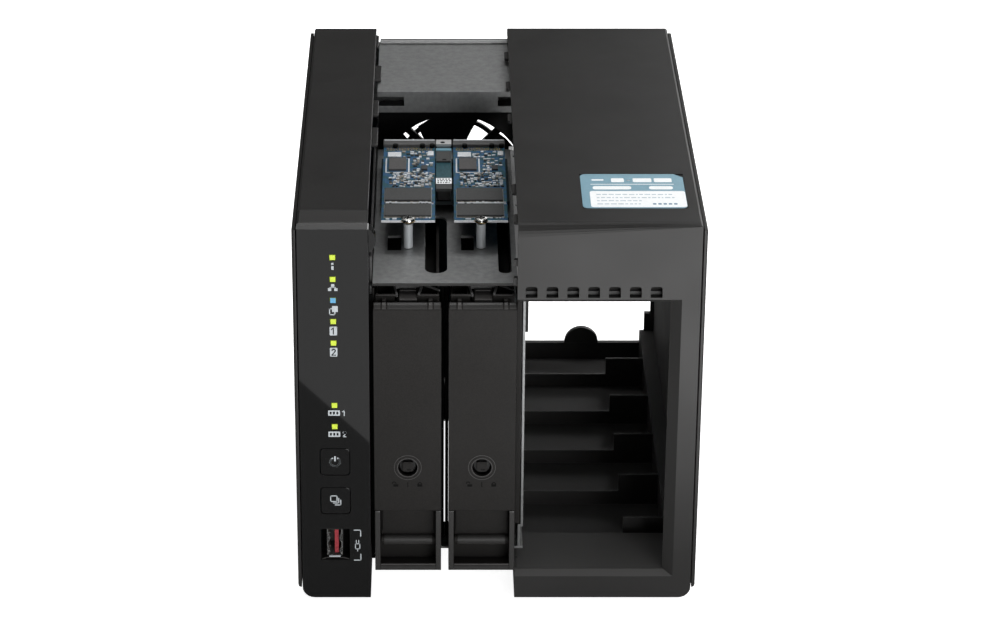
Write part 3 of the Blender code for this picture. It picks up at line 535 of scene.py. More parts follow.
def make_label():
    """A film with a white sheet, plain bars above it and lines of dashes on it."""
    label = Piece("cover_label_film")
    low, high = case_box("cover_label")
    clip, corner_steps = 3.5, 4
    outline = rounded(low.x, low.y, high.x, high.y, 2.5, corner_steps)[corner_steps + 1:]
    outline = [(high.x, high.y - clip), (high.x - clip, high.y)] + outline
    label.slab(outline, "z", low.z, LABEL_TOP, LABEL)

    def bar(left, front, right, back, corner, ink=LABEL_SHEET, coats=1):
        outline = rounded(left, front, right, back, corner)
        label.slab(outline, "z", LABEL_TOP, LABEL_TOP + coats * INK, ink)

    bar(119, 19.1, 157.4, 35.5, 1.2)
    label.box((119.7, 42.3, LABEL_TOP), (153.4, 42.8, LABEL_TOP + INK), LABEL_SHEET)
    for start, front, end, back in ((120.2, 46.4, 125.2, 47.8), (128.2, 44.8, 133.4, 48.8),
                                    (134.4, 46.3, 136, 47.1), (137, 44.8, 144.6, 48.8),
                                    (145.6, 44.8, 152.8, 48.8)):
        bar(start, front, end, back, 0.6)
    for start, end in ((120.4, 136), (143.2, 152.8)):
        bar(start, 37.2, end, 40.6, 1.2)

    randomly = random.Random(5)
    line_start, dash_gap = 121.6, 0.6
    for y, line_end in ((31.9, 152), (28.7, 152), (25.5, 140), (22.3, 139)):
        x = line_start
        while x < line_end:
            width = randomly.uniform(0.7, 2.4)
            label.box((x, y - 0.4, LABEL_TOP), (x + width, y + 0.4, LABEL_TOP + 2 * INK), LABEL_FAINT)
            x += width + dash_gap
    for step in range(5):
        x = 143.8 + step * 2.1
        bar(x, 21.6, x + 1.4, 23, 0.4, LABEL_INK, 2)
    label.finish("cover", "label", "cover_label")


def make_cover_details():
    """Behind the bezel's vent slots: a dark backing as painted shade, ribs between slots, and a pale ledge
    in each as painted light.
    """
    vents_piece = Piece("cover_vent_ribs_shade_and_light")
    first_slot, pitch, slots = 95.05, 8.28, 7
    vents_piece.box((90.9, 4.4, 134.9), (150.4, 5.2, 143.6), TRAY, 0.1)
    for index in range(slots + 1):
        middle = first_slot + (index - 0.5) * pitch
        vents_piece.box((middle - 0.6, 3.3, 136.2), (middle + 0.6, 4.5, 142.6), DARK, 0.1)
    for index in range(slots):
        middle = first_slot + index * pitch
        vents_piece.box((middle - 2.3, 3.3, 136), (middle + 2.3, 4.5, 138.3), PAINTED_HIGHLIGHT_PALE, 0.2)
    vents_piece.finish("cover", "inner_plastic")


# ---- front marks
BUTTON_FACE = 0.1
LAMP_HEIGHTS = (154.5, 145, 135.8, 126.5, 117, 89.1, 79.5)
BLUE_LAMP = 2


def draw(piece, points, width, face=0, material=WHITE_INK, depth=INK):
    """A line drawn on a surface that faces the front."""
    piece.stroke(points, width, "y", face - depth, face, material)


def stamp(piece, left, bottom, right, top, material=WHITE_INK, coats=1):
    """A rectangle printed on the front panel."""
    piece.box((left, -coats * INK, bottom), (right, 0, top), material)


def numeral(piece, value, x, z, height, face, material):
    """A plain numeral 1 or 2, about x and z."""
    half, wide = height / 2, height * 0.26
    if value == 1:
        points = [(x - wide, z + half * 0.55), (x, z + half), (x, z - half)]
    else:
        points = arc((x, z + half * 0.5), half * 0.5, 160, -40, 8)
        points += [(x - wide, z - half), (x + wide, z - half)]
    draw(piece, points, height * 0.17, face, material)


def make_front_marks():
    """Lamp windows down the panel, and under each a generic sign or a numeral."""
    marks = Piece("front_panel_marks")
    x = case_middle("light_guide")[0]
    half = 1.07
    for lamp, z in enumerate(LAMP_HEIGHTS):
        material = LED_BLUE if lamp == BLUE_LAMP else LED_GREEN
        marks.box((x - half, -0.04, z - half), (x + half, 0.09, z + half), material, 0.03)

    stamp(marks, x - 0.45, 151.4, x + 0.45, 152.2)
    stamp(marks, x - 0.45, 149.2, x + 0.45, 150.8)
    for offset, z in ((0, 142.4), (-1.25, 140.6), (1.25, 140.6)):
        stamp(marks, x + offset - 0.65, z - 0.6, x + offset + 0.65, z + 0.6)
    draw(marks, [(x - 1.2, 141.5), (x + 1.2, 141.5)], 0.25)
    draw(marks, frame_points(x - 1.4, 129.6, x + 0.7, 132.2), 0.4)
    stamp(marks, x - 0.4, 130.8, x + 1.9, 133.4, coats=2)
    for value, z in ((1, 122.4), (2, 113)):
        marks.slab(rounded(x - 1.5, z - 1.95, x + 1.5, z + 1.95, 0.4), "y", -INK, 0, WHITE_INK)
        numeral(marks, value, x, z, 2.6, -INK, GLOSS)
    for value, z in ((1, 85.7), (2, 76.1)):
        marks.slab(rounded(x - 2.6, z - 1.2, x + 2.2, z + 1.2, 0.3), "y", -INK, 0, WHITE_INK)
        for step in range(3):
            start = x - 2 + step * 1.35
            stamp(marks, start, z - 0.6, start + 0.8, z + 0.6, GLOSS, coats=2)
        numeral(marks, value, x + 3.9, z, 2.3, 0, WHITE_INK)
    draw_socket_sign(marks)
    marks.finish("case", "panel_gloss")


def draw_socket_sign(marks):
    """A plug between two corner brackets, beside the front socket."""
    for corner, bracket_end in ((31.8, 29), (17.7, 20.5)):
        draw(marks, [(23.5, corner), (26.1, corner), (26.1, bracket_end)], 0.42)
    draw(marks, frame_points(23.9, 23, 25.7, 25.4), 0.36)
    for prong in (24.3, 25.3):
        draw(marks, [(prong, 25.6), (prong, 27)], 0.32)
    draw(marks, [(24.8, 22.9), (24.8, 22)], 0.32)


def make_key_marks():
    power = Piece("power_button_mark")
    x, _, z = case_middle("power_button")
    for points in (arc((x, z), 1.95, 125, 415, 18), [(x, z + 0.6), (x, z + 2.3)]):
        draw(power, points, 0.62, BUTTON_FACE, WHITE_INK, 0.08)
    power.finish("power_key", "panel_gloss")

    copy = Piece("copy_button_mark")
    z = case_middle("copy_button")[2]
    sheets = (frame_points(x - 2, z - 0.4, x + 0.6, z + 2.2),
              [(x + 1.3, z + 1), (x + 1.3, z - 1.1), (x - 0.9, z - 1.1)],
              [(x + 2.1, z + 0.2), (x + 2.1, z - 2), (x - 0.1, z - 2)])
    for points in sheets:
        draw(copy, points, 0.42, BUTTON_FACE, WHITE_INK)
    copy.finish("copy_key", "panel_gloss")


def make_front_usb():
    """The front socket's bright rim, springs and contacts, a grey line of painted highlight, and a dark
    surround of painted shade.
    """
    port = Piece("front_usb_springs")
    low, high = case_box("front_usb_port")
    draw(port, frame_points(low.x + 0.25, low.z + 0.25, high.x - 0.25, high.z - 0.25), 0.5, low.y + 0.1,
         NICKEL, 0.2)
    for z in (low.z + 3.4, high.z - 3.4):
        for start, tilt in ((low.x + 0.6, -5), (high.x - 1, 5)):
            port.box((start, low.y + 0.2, z - 1.1), (start + 0.4, low.y + 8, z + 1.1), NICKEL, 0.1,
                     turn=("z", tilt))
        for bottom in (z - 1.4, z + 1.1):
            port.box((low.x + 0.5, low.y - 0.1, bottom), (low.x + 1.5, low.y + 0.2, bottom + 0.3),
                     PALE_METAL)
    port.box((low.x + 0.4, low.y - 0.1, low.z + 0.2), (high.x - 0.4, low.y + 0.1, low.z + 0.6),
             PALE_METAL)
    for side, inward in ((low.x + 0.25, 1), (high.x - 0.25, -1)):
        bent = side + 0.75 * inward
        wave = [(side, 31.9), (side, 29.6), (bent, 28.7), (bent, 26.8), (side, 25.8), (side, 23.4),
                (bent, 22.4), (bent, 21), (side, 20.2)]
        draw(port, wave, 0.32, low.y, PALE_METAL, 0.15)
    port.box((13.1, 0.5, 18.95), (17.7, 0.9, 19.5), WHITE_INK, 0.1)
    draw(port, [(10.3, 17.95), (12, 18.6), (18.8, 18.6), (21.2, 17.95)], 0.3, 0.9, PAINTED_HIGHLIGHT_GREY, 0.3)
    for start, end, top in ((9.9, low.x - 0.15, 32.2), (high.x + 0.15, 21.5, 32.2),
                            (low.x - 0.2, high.x + 0.2, low.z - 0.15)):
        port.box((start, 8.05, 17.7), (end, 8.4, top), PAINTED_SHADE, 0.05)
    for contact in range(4):
        z = low.z + 2.9 + contact * 2.4
        port.box((15.25, 2.4, z - 0.5), (15.42, 11, z + 0.5), GOLD, 0.05)
    port.finish("case", "sheet_steel")


# ---- solid-state cards
CARD_TOP = 150.6
CARD_FRONT, CARD_BACK = 45.6, 124.6
CARD_HALF_WIDTH, CARD_THICKNESS, NOTCH_RADIUS = 11, 0.8, 1.8
EDGE_CONTACTS, CONTACT_PITCH = 30, 0.66


def small_parts(piece, randomly, x_from, left, front, right, back, across, along, share, top=CARD_TOP):
    """Rows of little soldered parts on a field of a board, left and right being offsets from x_from.

    A share of the places is filled; across and along are their pitches."""
    y = front
    while y < back:
        x = x_from + left + randomly.uniform(0, across / 2)
        while x < x_from + right:
            if randomly.random() < share:
                width = randomly.uniform(0.55, 1) * across
                depth = randomly.uniform(0.35, 0.65) * along
                height = randomly.uniform(0.25, 0.6)
                body = randomly.choice((SOLDER, SOLDER, CERAMIC, CHIP_GREY))
                piece.box((x, y, top), (x + width, y + depth, top + height), body)
            x += across
        y += along


def make_card(index, centre):
    card = Piece(f"m2_card_{index}")
    left, right, bottom = centre - CARD_HALF_WIDTH, centre + CARD_HALF_WIDTH, CARD_TOP - CARD_THICKNESS
    notch = arc((centre, CARD_FRONT), NOTCH_RADIUS, 180, 0, 8)
    outline = [(left, CARD_FRONT)] + notch + [(right, CARD_FRONT), (right, CARD_BACK), (left, CARD_BACK)]
    card.slab(outline, "z", bottom, CARD_TOP, CARD_BLUE)
    for start, end in ((left, centre - 1.9), (centre + 1.9, right)):
        card.box((start, CARD_FRONT - 0.12, bottom), (end, CARD_FRONT + 0.35, CARD_TOP + 0.03), SOLDER)
    card.tube((centre, CARD_FRONT, CARD_TOP + 0.02), "z", 2.9, NOTCH_RADIUS, 0.06, GOLD)

    card.slab(rounded(centre - 10, 96.4, centre + 0.2, 112.2, 0.5), "z", CARD_TOP, CARD_TOP + 0.1, SOLDER)
    # Each block: left, front, right, back, height, material and edge rounding.
    for left, front, right, back, height, material, rounding in (
            (-9.4, 97, -0.4, 111.6, 0.3, CARD_BLUE, 0), (-8.6, 97.9, -1.2, 110.6, 1.2, CHIP_LID, 0.15),
            (-9.8, 64.8, 9.4, 77.5, 1.2, CHIP_GREY, 0.15), (-10, 64.45, 9.6, 77.85, 0.3, CERAMIC, 0),
            (-9.8, 48.9, 9.4, 61, 1.2, CHIP_GREY, 0.15), (-10, 48.55, 9.6, 61.35, 0.3, CERAMIC, 0),
            (-9.4, 63, 9.5, 63.7, 0.5, SOLDER, 0), (5.2, 98.8, 7.8, 103, 0.9, CHIP_DARK, 0.1),
            (-9.2, 113.4, -3.4, 118.6, 0.5, SOLDER, 0.15), (8, 114.4, 10.4, 119, 0.8, SOLDER, 0.15)):
        card.box((centre + left, front, CARD_TOP), (centre + right, back, CARD_TOP + height), material,
                 rounding)

    randomly = random.Random(index)
    # Each field of small parts: left, front, right, back, pitch across and along, and share filled.
    for field in (
            (-8.5, 81, 9.6, 96, 1.5, 1.45, 0.8), (-3, 112.8, 7.6, 119, 1.7, 1.9, 0.6),
            (1.2, 97, 4.8, 112, 1.6, 2, 0.7), (4.8, 104, 10, 112, 1.7, 2.2, 0.5),
            (-8, 78.4, 9.6, 78.6, 1.25, 0.9, 0.85), (-9.5, 62.6, 9.6, 62.8, 1.25, 0.9, 0.85),
            (-9.5, 64.1, 9.6, 64.3, 1.25, 0.9, 0.85), (-3, 48, 9.6, 48.2, 1.25, 0.9, 0.85),
            (-9.5, 46.8, -4, 47, 2.6, 1.4, 0.9)):
        small_parts(card, randomly, centre, *field)
    for contact in range(EDGE_CONTACTS):
        x = centre - 9.8 + contact * CONTACT_PITCH
        card.box((x, CARD_BACK - 3.4, CARD_TOP), (x + 0.4, CARD_BACK - 0.2, CARD_TOP + 0.03), GOLD)
    card.finish("case", "board_blue", f"m2_ssd_{index}")


def make_card_socket(index, centre):
    socket = Piece(f"m2_edge_socket_{index}")
    low, high = case_box(f"m2_socket_{index}")
    socket.box(low, high, SOCKET_GREY, 0.25)
    socket.box((low.x + 0.3, high.y - 1, high.z), (high.x - 0.3, high.y - 0.1, high.z + 0.15), SOLDER,
               0.05)
    # Near-black pegs mark the socket's holes as painted shade.
    for offset in (-6, 5.6, 9.8):
        socket.rod((centre + offset, low.y, high.z - 1.2), "z", 1.1, 2.5, PAINTED_SHADE, 16)
    socket.finish("case", "connector_black", f"m2_socket_{index}")


def make_riser(left, right):
    """The strip between the cards: a board on a dark block, with a lip, labels and a chip."""
    riser = Piece("m2_riser_strip")
    deck = CARD_TOP - 0.4
    carrier_low, carrier_high = case_box("m2_carrier_board")
    # Each layer: inset from the sides, front, back, bottom, top, material and edge rounding.
    # The near-black strip along the front of the carrier board is painted shade.
    for inset, front, back, bottom, top, material, rounding in (
            (0, 79.8, 125, deck - 1, deck, TEAL_BOARD, 0.1),
            (0.6, 84.5, 124, 142.8, deck - 0.9, DARK, 0.1),
            (0, 79.6, 85, deck - 1.1, deck + 0.2, CHIP_GREY, 0.05),
            (0.2, carrier_low.y - 0.2, 84.4, carrier_high.z + 0.05, carrier_high.z + 0.4, PAINTED_SHADE, 0),
            (0, 85.4, 91.5, deck, deck + 0.08, LABEL_SHEET, 0),
            (0.2, 108.5, 119.4, deck, deck + 0.9, CHIP_GREY, 0.1),
            (0, 122.2, 124.8, deck, deck + 0.1, LABEL, 0)):
        riser.box((left + inset, front, bottom), (right - inset, back, top), material, rounding)

    randomly = random.Random(9)
    for row in range(3):
        x, y = left + 0.6, 86.2 + row * 1.8
        while x < right - 1:
            width = randomly.uniform(0.4, 1.1)
            riser.box((x, y, deck + 0.08), (x + width, y + 1, deck + 0.12), CHIP_GREY)
            x += width + 0.45
    small_parts(riser, randomly, left, 0.5, 109.5, right - left - 1, 119, 2.1, 2.4, 0.12, deck + 0.9)
    riser.finish("case", "board_teal")


def make_clips(left, right, clip_x):
    """A clamp with a screw behind the riser, and a curved spring clip beside the right card. The clamp's
    top is a pale grey of painted light, and its screw a near-black disc and slot of painted shade.
    """
    clips = Piece("m2_socket_clips")
    clips.box((left, 125, 150.9), (right, 130.2, 152.1), PAINTED_LIGHT_PALE, 0.2)
    clips.box((left + 0.4, 125.4, 142.8), (right - 0.4, 129.8, 151), STEEL, 0.1)
    clips.rod((left + 2.9, 126.9, 152.1), "z", 1, 0.1, PAINTED_SHADE, 16)
    clips.box((left + 1.9, 126.5, 152.08), (left + 3.9, 127.3, 152.17), PAINTED_SHADE)
    centre, radius = (clip_x, 122), 3
    for first, second in zip(arc(centre, radius, 100, 20, 6), arc(centre, radius, 86, 6, 6)):
        low = (min(first[0], second[0]), min(first[1], second[1]), 149.6)
        high = (max(first[0], second[0]) + 0.4, max(first[1], second[1]) + 0.4, 151)
        clips.box(low, high, PALE_METAL)
    clips.finish("case", "sheet_steel")


def make_screw_heads(centres):
    heads = Piece("m2_screw_heads")
    dome = [(0, 0), (2.6, 0), (2.8, 0.3), (2.5, 1.1), (1.4, 1.4), (0, 1.4)]
    for centre in centres:
        cross_head(heads, (centre, CARD_FRONT, CARD_TOP + 0.1), "z", dome, (3, 0.6), (1.25, 1.45), 28)
    heads.finish("case", "sheet_steel", "m2_screw_1", "m2_screw_2")


def make_card_bay():
    centres = [case_middle(f"m2_ssd_{index}")[0] for index in (1, 2)]
    for index, centre in enumerate(centres, 1):
        make_card(index, centre)
        make_card_socket(index, centre)
    left, right = centres[0] + 11.4, centres[1] - 11.8
    make_riser(left, right)
    make_clips(left, right, centres[1] + 13.4)
    make_screw_heads(centres)


# ---- trays
def padlock(piece, x, z, open_shackle):
    """A small closed or open padlock pressed into the tray's face, drawn near-black as painted shade."""
    stamp(piece, x - 1, z - 1, x + 1, z + 0.1, PAINTED_SHADE)
    lift = 0.7 if open_shackle else 0
    draw(piece, arc((x - lift, z + 0.1 + lift / 2), 0.75, 0, 180, 8), 0.3, 0, PAINTED_SHADE)


HINGE_Y, HINGE_Z = 2.9, 130.8


def make_tray_top(index, left, right):
    """The tray's top edge: a latch frame, lips, a corner brace and the outer hinge barrels, in greys
    lighter than the tray as painted light and highlights.
    """
    top = Piece(f"tray_top_frame_{index}")
    top.stroke([(left + 9.4, 9), (left + 8.3, 16.8), (left + 19.2, 16.8), (left + 18.2, 9)], 0.8,
               "z", 133.4, 134.6, PAINTED_HIGHLIGHT_PALE)
    top.box((left + 10.3, 6.7, 132.4), (left + 17.4, 15.6, 133.5), PAINTED_LIGHT_GREY, 0.3, turn=("x", 5))
    top.box((left + 10.6, 13.6, 133.5), (left + 17.1, 15.6, 134.1), PAINTED_HIGHLIGHT_GREY, 0.3)
    for start, end in ((left + 0.9, left + 9.4), (left + 17.8, right - 0.9)):
        top.box((start, 8.4, 133.6), (end, 9.6, 134.35), PAINTED_LIGHT_GREY, 0.15)
    top.stroke([(left + 20.4, 18.2), (left + 26.3, 13.2)], 0.6, "z", 133.9, 134.6, PAINTED_HIGHLIGHT_PALE)
    top.box((left + 15.4, 17.4, 133.8), (left + 16.3, 18.8, 134.8), PAINTED_HIGHLIGHT_PALE, 0.15)
    for start in (left + 3.4, right - 5.2):
        top.rod((start + 0.9, HINGE_Y, HINGE_Z), "x", 2.72, 1.75, PAINTED_HIGHLIGHT_GREY, 24, 0.2)
    top.finish(f"drive_carrier_{index}", "inner_plastic")


def make_tray_rails(index, left, right):
    """Raised rails around the finger opening at the tray's foot, with the bars and caps on them, in greys
    lighter than the tray as painted highlights.
    """
    rails = Piece(f"tray_front_rails_{index}")
    for start in (left + 0.15, right - 2.15):
        rails.box((start, 0.18, 13.2), (start + 2, 0.6, 40), PAINTED_LIGHT_AND_SHADE_GREY, 0.15)
        rails.box((start, 0.3, 39.7), (start + 2, 4, 40.35), PAINTED_HIGHLIGHT_PALE, 0.15)
    rails.box((left + 2.3, 0.2, 15), (right - 2.3, 1, 15.8), PAINTED_HIGHLIGHT_GREY, 0.2)
    rails.box((left + 2.3, 0.16, 13), (right - 2.3, 0.6, 14.7), PAINTED_LIGHT_AND_SHADE_GREY, 0.1)
    rails.finish(f"drive_carrier_{index}", "inner_plastic")


def make_tray_grip(index, left, right, lock_z):
    """On the lever: the finger bar, its hinge barrels, rings round the lock and pressed signs. The bar,
    barrels and rings are lighter greys as painted light, and the signs near-black as painted shade.
    """
    grip = Piece(f"tray_grip_{index}")
    middle = (left + right) / 2
    grip.rod((middle, 5.2, 24.8), "x", 2.15, 21.6, PAINTED_LIGHT_AND_SHADE_GREY, 24, 1)
    grip.box((left + 3, 5.4, 28.5), (right - 3, 6.1, 40.6), TRAY, 0.3)
    for start, end in ((left + 0.3, left + 3.1), (left + 5.5, right - 5.5), (right - 3.1, right - 0.3)):
        grip.rod(((start + end) / 2, HINGE_Y, HINGE_Z), "x", 2.66, end - start, PAINTED_LIGHT_AND_SHADE_GREY, 24, 0.2)
    for outer, inner in ((5.65, 5.4), (4.35, 4)):
        grip.tube((middle, -0.03, lock_z), "y", outer, inner, 0.1, PAINTED_LIGHT_GREY, 40)
    sign_z = lock_z - 7.8
    padlock(grip, middle - 4.9, sign_z, True)
    padlock(grip, middle + 4.9, sign_z, False)
    draw(grip, [(middle, sign_z - 1), (middle, sign_z + 0.9)], 0.35, 0, PAINTED_SHADE)
    grip.finish(f"handle_{index}", "inner_plastic")


def make_tray_lock(index, middle, lock_z):
    """A round barrel with a square key block in it."""
    lock = Piece(f"lock_barrel_{index}")
    lock.turned([(0, 2.3), (3.2, 2.3), (3.65, 2.7), (3.65, 6.5), (0, 6.5)], (middle, 0, lock_z), "y",
                DARK, 32)
    for half, corner, front, back, rounding in ((2.15, 0.6, 0.6, 2.6, 0.12), (1.5, 0.4, 0.5, 0.7, 0)):
        block = rounded(middle - half, lock_z - half, middle + half, lock_z + half, corner)
        lock.slab(block, "y", front, back, TRAY, rounding)
    # A near-black bar on the key block: painted shade.
    lock.box((middle - 0.4, 0.44, lock_z - 1.5), (middle + 1.3, 0.6, lock_z - 1.1), PAINTED_SHADE)
    lock.slab(rounded(middle - 1.5, lock_z - 1.5, middle + 1.5, lock_z + 8.5, 1), "y", 4.6, 6.2, DARK)
    lock.finish(f"lock_{index}", "connector_black", f"tray_lock_{index}")


def make_tray_details(index):
    low, high = case_box(f"tray_{index}")
    lock_z = case_middle("tray_lock_1")[2] - 2.4
    make_tray_top(index, low.x, high.x)
    make_tray_rails(index, low.x, high.x)
    make_tray_grip(index, low.x, high.x, lock_z)
    make_tray_lock(index, (low.x + high.x) / 2, lock_z)


def make_drive_details(index):
    """Side screws, a printed label and a circuit board on the drive."""
    drive = Piece(f"hard_drive_fittings_{index}")
    low, high = case_box(f"hard_drive_{index}")
    for share in (0, 0.5, 1):
        z = low.z + 6 + (high.z - low.z - 12) * share
        for y in (low.y + 6.5, high.y - 6.5):
            drive.rod((high.x, y, z), "x", 2.2, 0.5, NICKEL, 20, 0.15)
            # The near-black dot in each screw's middle is painted shade.
            drive.rod((high.x + 0.25, y, z), "x", 1, 0.06, PAINTED_SHADE, 6)
    drive.slab(rounded(low.y + 22, low.z + 22, high.y - 24, high.z - 20, 3), "x", high.x, high.x + 0.08,
               LABEL_SHEET)
    for row in range(5):
        z = high.z - 32 - row * 6.5
        drive.box((high.x + 0.08, low.y + 30, z), (high.x + 0.12, high.y - 40 - row * 7, z + 2.2),
                  LABEL_FAINT)
    _, y, z = case_middle(f"hard_drive_{index}")
    drive.tube((high.x + 0.02, y + 30, z), "x", 11, 10.4, 0.3, CAST, 40)
    drive.box((low.x - 0.35, low.y + 16, low.z + 8), (low.x, high.y - 3, low.z + 74), TEAL_BOARD)
    for y, z, wide, tall in ((60, 50, 14, 14), (90, 46, 9, 9), (76, 70, 10, 7), (112, 62, 12, 6)):
        drive.box((low.x - 0.6, y, z), (low.x - 0.3, y + wide, z + tall), CHIP_DARK, 0.05)
    drive.finish(f"drive_carrier_{index}", "drive_metal")


# ---- fan
HUB_RADIUS = 14
BLADES, BLADE_LENGTH = 5, 18.1
BLADE_SPAN, BLADE_SWEEP = math.radians(54), math.radians(5)
BLADE_STEPS = 6


def fan_blade(start_angle, x, middle, z):
    """One swept blade: a grid of points over its length and its width, made 0.9 mm thick."""
    sheet = bmesh.new()
    rows = []
    for step in range(BLADE_STEPS + 1):
        out = step / BLADE_STEPS
        radius = HUB_RADIUS - 0.6 + BLADE_LENGTH * out
        row = []
        for across in range(BLADE_STEPS + 1):
            share = across / BLADE_STEPS
            angle = start_angle + BLADE_SWEEP * out ** 1.4 + BLADE_SPAN * (share - 0.66)
            y = middle - 4.6 + 8.8 * share + math.sin(math.pi * share)
            row.append(sheet.verts.new((x + radius * math.sin(angle), y, z + radius * math.cos(angle))))
        rows.append(row)
    for inner, outer in zip(rows, rows[1:]):
        for across in range(BLADE_STEPS):
            sheet.faces.new((inner[across], inner[across + 1], outer[across + 1], outer[across]))
    bmesh.ops.recalc_face_normals(sheet, faces=sheet.faces)
    bmesh.ops.solidify(sheet, geom=sheet.faces[:], thickness=0.9)
    return sheet


def make_fan():
    """A hub with five broad swept blades, and the finger guard behind it."""
    x, _, z = case_middle("fan_frame")
    middle = 210.5
    rotor = Piece("fan_swept_rotor")
    rotor.turned([(0, -5.4), (11.5, -5.4), (13.4, -4.8), (HUB_RADIUS, -3.6), (HUB_RADIUS, 5.5), (0, 5.5)],
                 (x, middle, z), "y", DARK, 48)
    rotor.tube((x, middle - 5.5, z), "y", 9, 8.4, 0.3, CHIP_DARK, 40)
    for blade in range(BLADES):
        rotor.take(fan_blade(2 * math.pi * blade / BLADES, x, middle, z), DARK)
    rotor.finish("fan_wheel", "connector_black", "fan_rotor")

    guard = Piece("fan_guard_rings")
    low, high = case_box("fan_guard")
    y, thick = (low.y + high.y) / 2, high.y - low.y
    for outer, inner in ((13.2, 11.2), (25.4, 23.4), (34.4, 33.2)):
        guard.tube((x, y, z), "y", outer, inner, thick, DARK, 72)
    for tilt in (0, 90):
        guard.box((x - 33.6, y - 0.7, z - 0.8), (x + 33.6, y + 0.7, z + 0.8), DARK, 0.3, ("y", tilt))
    guard.finish("case", "sheet_steel", "fan_guard")


# ---- rear
def make_rear_ports():
    """Contacts, tongues and lamps in the rear sockets."""
    ports = Piece("rear_port_contacts")
    for name in ("lan_port_1", "lan_port_2"):
        low, high = case_box(name)
        back = high.y
        for pin in range(8):
            z = low.z + 3.3 + pin * 1.02
            ports.box((low.x + 1.6, back - 9, z), (low.x + 3, back - 1.2, z + 0.45), GOLD, turn=("z", 4))
        ports.box((low.x + 1.5, back - 11.8, low.z + 1.5), (high.x - 1.5, back - 11, high.z - 1.5), DARK)
        for z, material in ((low.z + 0.3, LED_GREEN), (high.z - 1.3, GOLD)):
            ports.box((high.x - 3.4, back - 0.3, z), (high.x - 1.7, back + 0.1, z + 1), material)
    low, high = case_box("rear_usb_ports")
    for z in (low.z + 4.3, high.z - 4.3):
        ports.box((low.x + 2.2, high.y - 11, z - 0.9), (high.x - 2.2, high.y - 0.8, z + 0.9), USB_BLUE, 0.2)
        for pin in range(4):
            x = low.x + 4 + pin * 2.1
            ports.box((x, high.y - 9.5, z - 1), (x + 0.9, high.y - 2, z - 0.88), GOLD)
    low, high = case_box("hdmi_port")
    ports.box((low.x + 2.5, high.y - 11, low.z + 3), (low.x + 3.5, high.y - 1, high.z - 3), DARK, 0.2)
    x, _, z = case_middle("dc_inlet")
    back = case_box("dc_inlet")[1].y
    ports.rod((x, back - 5.5, z), "y", 1, 9, NICKEL, 20, 0.4)
    ports.tube((x, back - 0.1, z), "y", 4, 3.25, 0.5, CHIP_DARK, 32)
    ports.finish("case", "connector_black")


def make_rear_screws():
    """Domed cross-head screws: one at each corner of the fan, and five along the rear wall's edges."""
    screws = Piece("rear_panel_screws")
    face = case_box("rear_panel")[1].y
    low, high = case_box("fan_frame")
    inset = 3.2
    spots = [(x, z) for x in (low.x + inset, high.x - inset) for z in (low.z + inset, high.z - inset)]
    spots += [(28.5, 10), (28.5, 158), (60, 12), (60, 153), (8, 130)]
    for x, z in spots:
        cross_head(screws, (x, face, z), "y", [(0, 0), (2.9, 0), (2.8, 0.7), (1.9, 1.3), (0, 1.4)],
                   (2.8, 0.5), (1.3, 1.46), 24)
    screws.finish("case", "sheet_steel")


# ---- sheet edges and shadow gaps
def make_plate_hem():
    """The folded rear edge of the top plate, with a pale strip of painted highlight along it."""
    hem = Piece("rear_plate_hem")
    low, high = case_box("rear_top_plate")
    rise = 0.9
    hem.box((low.x + 0.4, high.y - 1.5, high.z), (high.x - 0.2, high.y + 4, high.z + rise), STEEL, 0.4)
    hem.box((low.x + 0.8, high.y - 0.4, high.z + rise), (high.x - 0.6, high.y + 0.6, high.z + 1.1),
            PAINTED_LIGHT_PALE, 0.05)
    hem.finish("case", "sheet_steel")


def make_painted_gap_shade():
    """Painted shade: near-black strips beside and between the trays, and dark strips on the side wall of
    the front panel.

    The side wall's strips leave room for the cover's two snap tabs."""
    gap_shade = Piece("tray_gap_painted_shade")
    gap_bottom, gap_top = 13.5, 134
    gap_shade.box((30.35, 9, gap_bottom), (31.8, 9.8, gap_top), PAINTED_SHADE, 0.1)
    for start, end in ((59.22, 60.35), (60.85, 62.18)):
        gap_shade.box((start, 20, gap_bottom), (end, 20.8, gap_top), PAINTED_SHADE)
    for front, back, bottom, top in ((0.4, 2, 4, 160), (4.8, 15.8, 4, 153),
                                     (2, 4.8, 4, 140.8), (2, 4.8, 145.2, 149)):
        gap_shade.box((30.1, front, bottom), (30.24, back, top), DARK)
    gap_shade.finish("case", "inner_plastic")


def make_shelf_rim():
    """The shelf's front edge in a dark grey of painted shade, and a pale flange of painted light with three
    rivets along its right side.
    """
    rim = Piece("shelf_side_rim")
    low, high = case_box("cage_shelf")
    rim.box((low.x, low.y - 0.25, low.z - 0.1), (high.x, low.y - 0.05, high.z), PAINTED_LIGHT_AND_SHADE_GREY, 0.05)
    flange_top = 139.3
    rim.box((89.7, 14, 138.7), (92.9, 151, flange_top), PAINTED_LIGHT_PALE, 0.1)
    for y in (24, 88, 142):
        rim.rod((91.4, y, flange_top), "z", 0.9, 0.3, NICKEL, 16, 0.1)
    rim.finish("case", "sheet_steel")


# ---- circuit boards
def upright_parts(piece, randomly, axis, face, along_range, z_range, pitch, share):
    """Little parts standing off a board that faces along x or y."""
    z = z_range[0]
    while z < z_range[1]:
        along = along_range[0]
        while along < along_range[1]:
            if randomly.random() < share:
                wide, tall = randomly.uniform(0.4, 0.8) * pitch, randomly.uniform(0.4, 0.8) * pitch
                end = face + randomly.uniform(0.5, 2.4)
                material = randomly.choice((CHIP_DARK, CHIP_GREY, SOLDER, CERAMIC, CHIP_DARK))
                low, high = (face, along, z), (end, along + wide, z + tall)
                if axis == "y":
                    low, high = (along, face, z), (along + wide, end, z + tall)
                piece.box(low, high, material, 0.05)
            along += pitch
        z += pitch


